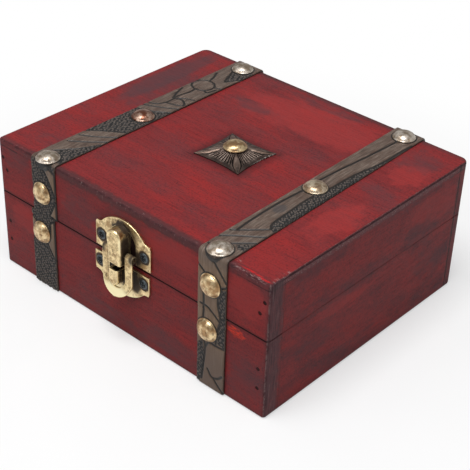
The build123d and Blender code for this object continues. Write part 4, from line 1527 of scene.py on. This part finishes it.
def ornament_metal():
    """Dark bronze, rubbed pale on its ridges and chipped bright at its rim."""
    finish = Finish("ornament_bronze")
    groove, out, leaf = [finish.attribute(name) for name in ("groove", "out", "leaf")]
    cloud = finish.noise(3.0, 61, detail=4.0, roughness=0.6)
    fine = finish.noise(0.7, 62, detail=4.0, roughness=0.7)
    bronze = cloud.step(0.35, 0.65)
    finish.colour = finish.mix(bronze, paint(132, 115, 105), paint(88, 73, 65))
    dark = (groove + (fine - 0.5) * 0.24).step(0.04, 0.34) * 0.97
    dark = dark.highest((out + (cloud - 0.5) * 0.5).step(0.62, 0.9) * 0.7)
    finish.cover(dark, paint(25, 20, 18))
    finish.cover(leaf.step(0.1, 0.7) * (0.2 + fine * 0.8), paint(146, 121, 106))
    rusty = out.step(0.7, 0.95) * fine.step(0.5, 0.66)
    finish.cover(rusty * 0.6, paint(96, 46, 38))
    right_side = (ornament_high[0], 0.0, ornament_low[2])
    chips = finish.blot(right_side, (1.6, 11.0, 2.4), 63) * fine.step(0.46, 0.56)
    finish.cover(chips, paint(222, 212, 204))
    rough = 0.42 + (fine - 0.5) * 0.3
    return finish.shade(fine, 0.12, 0.6, Metallic=0.75, Roughness=rough)


points, faces, marks = ornament_plate()
ornament = make_piece("fluted_ornament", points, faces, ornament_metal(), **marks)
settle(ornament, "lid", "antique_bronze", "top_ornament_plate")


# The stage: a pale floor that fades to white, soft lamps and the camera


white = (1.0, 1.0, 1.0, 1.0)


def pale_floor():
    """Nearly white near the box, where its shadow falls, and plain white further off."""
    finish = Finish("pale_floor")
    grain = finish.noise(40.0, 71)
    colour = finish.mix(grain, paint(250, 250, 250), paint(245, 245, 245))
    bounced = finish.add("ShaderNodeLightPath", output="Is Diffuse Ray")
    colour = finish.mix(bounced, colour, paint(176, 176, 176))
    lit = finish.add("ShaderNodeBsdfDiffuse", {}, {"Color": colour})
    bright = finish.add("ShaderNodeEmission", {}, {"Color": white, "Strength": 1.0})
    gap = finish.add("ShaderNodeVectorMath", {"operation": "LENGTH"}, {0: finish.place}, "Value")
    seen = finish.add("ShaderNodeLightPath", output="Is Camera Ray")
    share = seen * (0.45 + gap.step(0.08, 0.24) * 0.55)
    surface = finish.add("ShaderNodeMixShader", {}, {0: share, 1: lit, 2: bright})
    finish.add("ShaderNodeOutputMaterial", {}, {"Surface": surface})
    return finish.material


floor_reach = 3000.0
floor_corners = np.array([(-1, -1, 0), (1, -1, 0), (1, 1, 0), (-1, 1, 0)]) * floor_reach
floor = make_piece("studio_floor", floor_corners, [(0, 1, 2, 3)], pale_floor())


def studio_air():
    """Plain light from all round: white where it is seen, dimmer where it lights."""
    world = bpy.data.worlds.new("studio_air")
    world.use_nodes = True
    tree = NodeTree(world.node_tree)
    tree.tree.nodes.clear()
    light = tree.add("ShaderNodeBackground", {}, {"Color": (0.97, 0.98, 1.0, 1), "Strength": 0.28})
    seen = tree.add("ShaderNodeBackground", {}, {"Color": white, "Strength": 1.0})
    mirrored = tree.add("ShaderNodeBackground", {}, {"Color": white, "Strength": 0.42})
    camera = tree.add("ShaderNodeLightPath", output="Is Camera Ray")
    glossy = tree.add("ShaderNodeLightPath", output="Is Glossy Ray")
    surface = tree.add("ShaderNodeMixShader", {}, {0: glossy, 1: light, 2: mirrored})
    surface = tree.add("ShaderNodeMixShader", {}, {0: camera, 1: surface, 2: seen})
    tree.add("ShaderNodeOutputWorld", {}, {"Surface": surface})
    bpy.context.scene.world = world


def way_from_box(azimuth, elevation):
    """The way from the box to what stands at these angles, in degrees round it and above it."""
    turn, rise = radians(azimuth), radians(elevation)
    return Vector((sin(turn) * cos(rise), -cos(turn) * cos(rise), sin(rise)))


def soft_lamp(name, azimuth, elevation, distance, size, share):
    """A square lamp that faces the box. Its share is the light that it gives a white card.
    Its distance and size are in metres."""
    way = way_from_box(azimuth, elevation)
    lamp = bpy.data.lights.new(name, "AREA")
    lamp.shape = "SQUARE"
    lamp.size = size
    lamp.energy = share * (pi * distance) ** 2
    light = bpy.data.objects.new(name, lamp)
    light.location = way * distance
    light.rotation_mode = "QUATERNION"
    light.rotation_quaternion = way.to_track_quat("Z", "Y")
    bpy.context.scene.collection.objects.link(light)


studio_air()
soft_lamp("overhead_lamp", 12, 74, 1.1, 0.55, 0.72)
soft_lamp("front_lamp", -25, 34, 1.3, 0.8, 0.12)
soft_lamp("side_lamp", 95, 28, 1.4, 0.8, 0.07)

# The camera, at the photograph's viewing angle: degrees, millimetres and pixels
view_azimuth = 41.06
view_elevation = 33.46
view_roll = 2.18
view_distance = 571.9
view_aim = Vector((0.0, 3.28, 18.51))
focal_pixels = 1232.3
image_pixels = 470.0


def studio_camera():
    """A camera that looks at the box from its front right, a little rolled."""
    back = way_from_box(view_azimuth, view_elevation)
    level = back.cross(Vector((0, 0, 1))).normalized() * -1
    upright = back.cross(level)
    roll = radians(view_roll)
    right = level * cos(roll) + upright * sin(roll)
    up = upright * cos(roll) - level * sin(roll)
    data = bpy.data.cameras.new("studio_camera")
    data.lens = focal_pixels / image_pixels * data.sensor_width
    camera = bpy.data.objects.new("studio_camera", data)
    camera.rotation_mode = "QUATERNION"
    camera.rotation_quaternion = Matrix((right, up, back)).transposed().to_quaternion()
    camera.location = (view_aim + back * view_distance) * MM
    bpy.context.scene.collection.objects.link(camera)
    bpy.context.scene.camera = camera


studio_camera()
bpy.context.scene.view_settings.view_transform = "Standard"
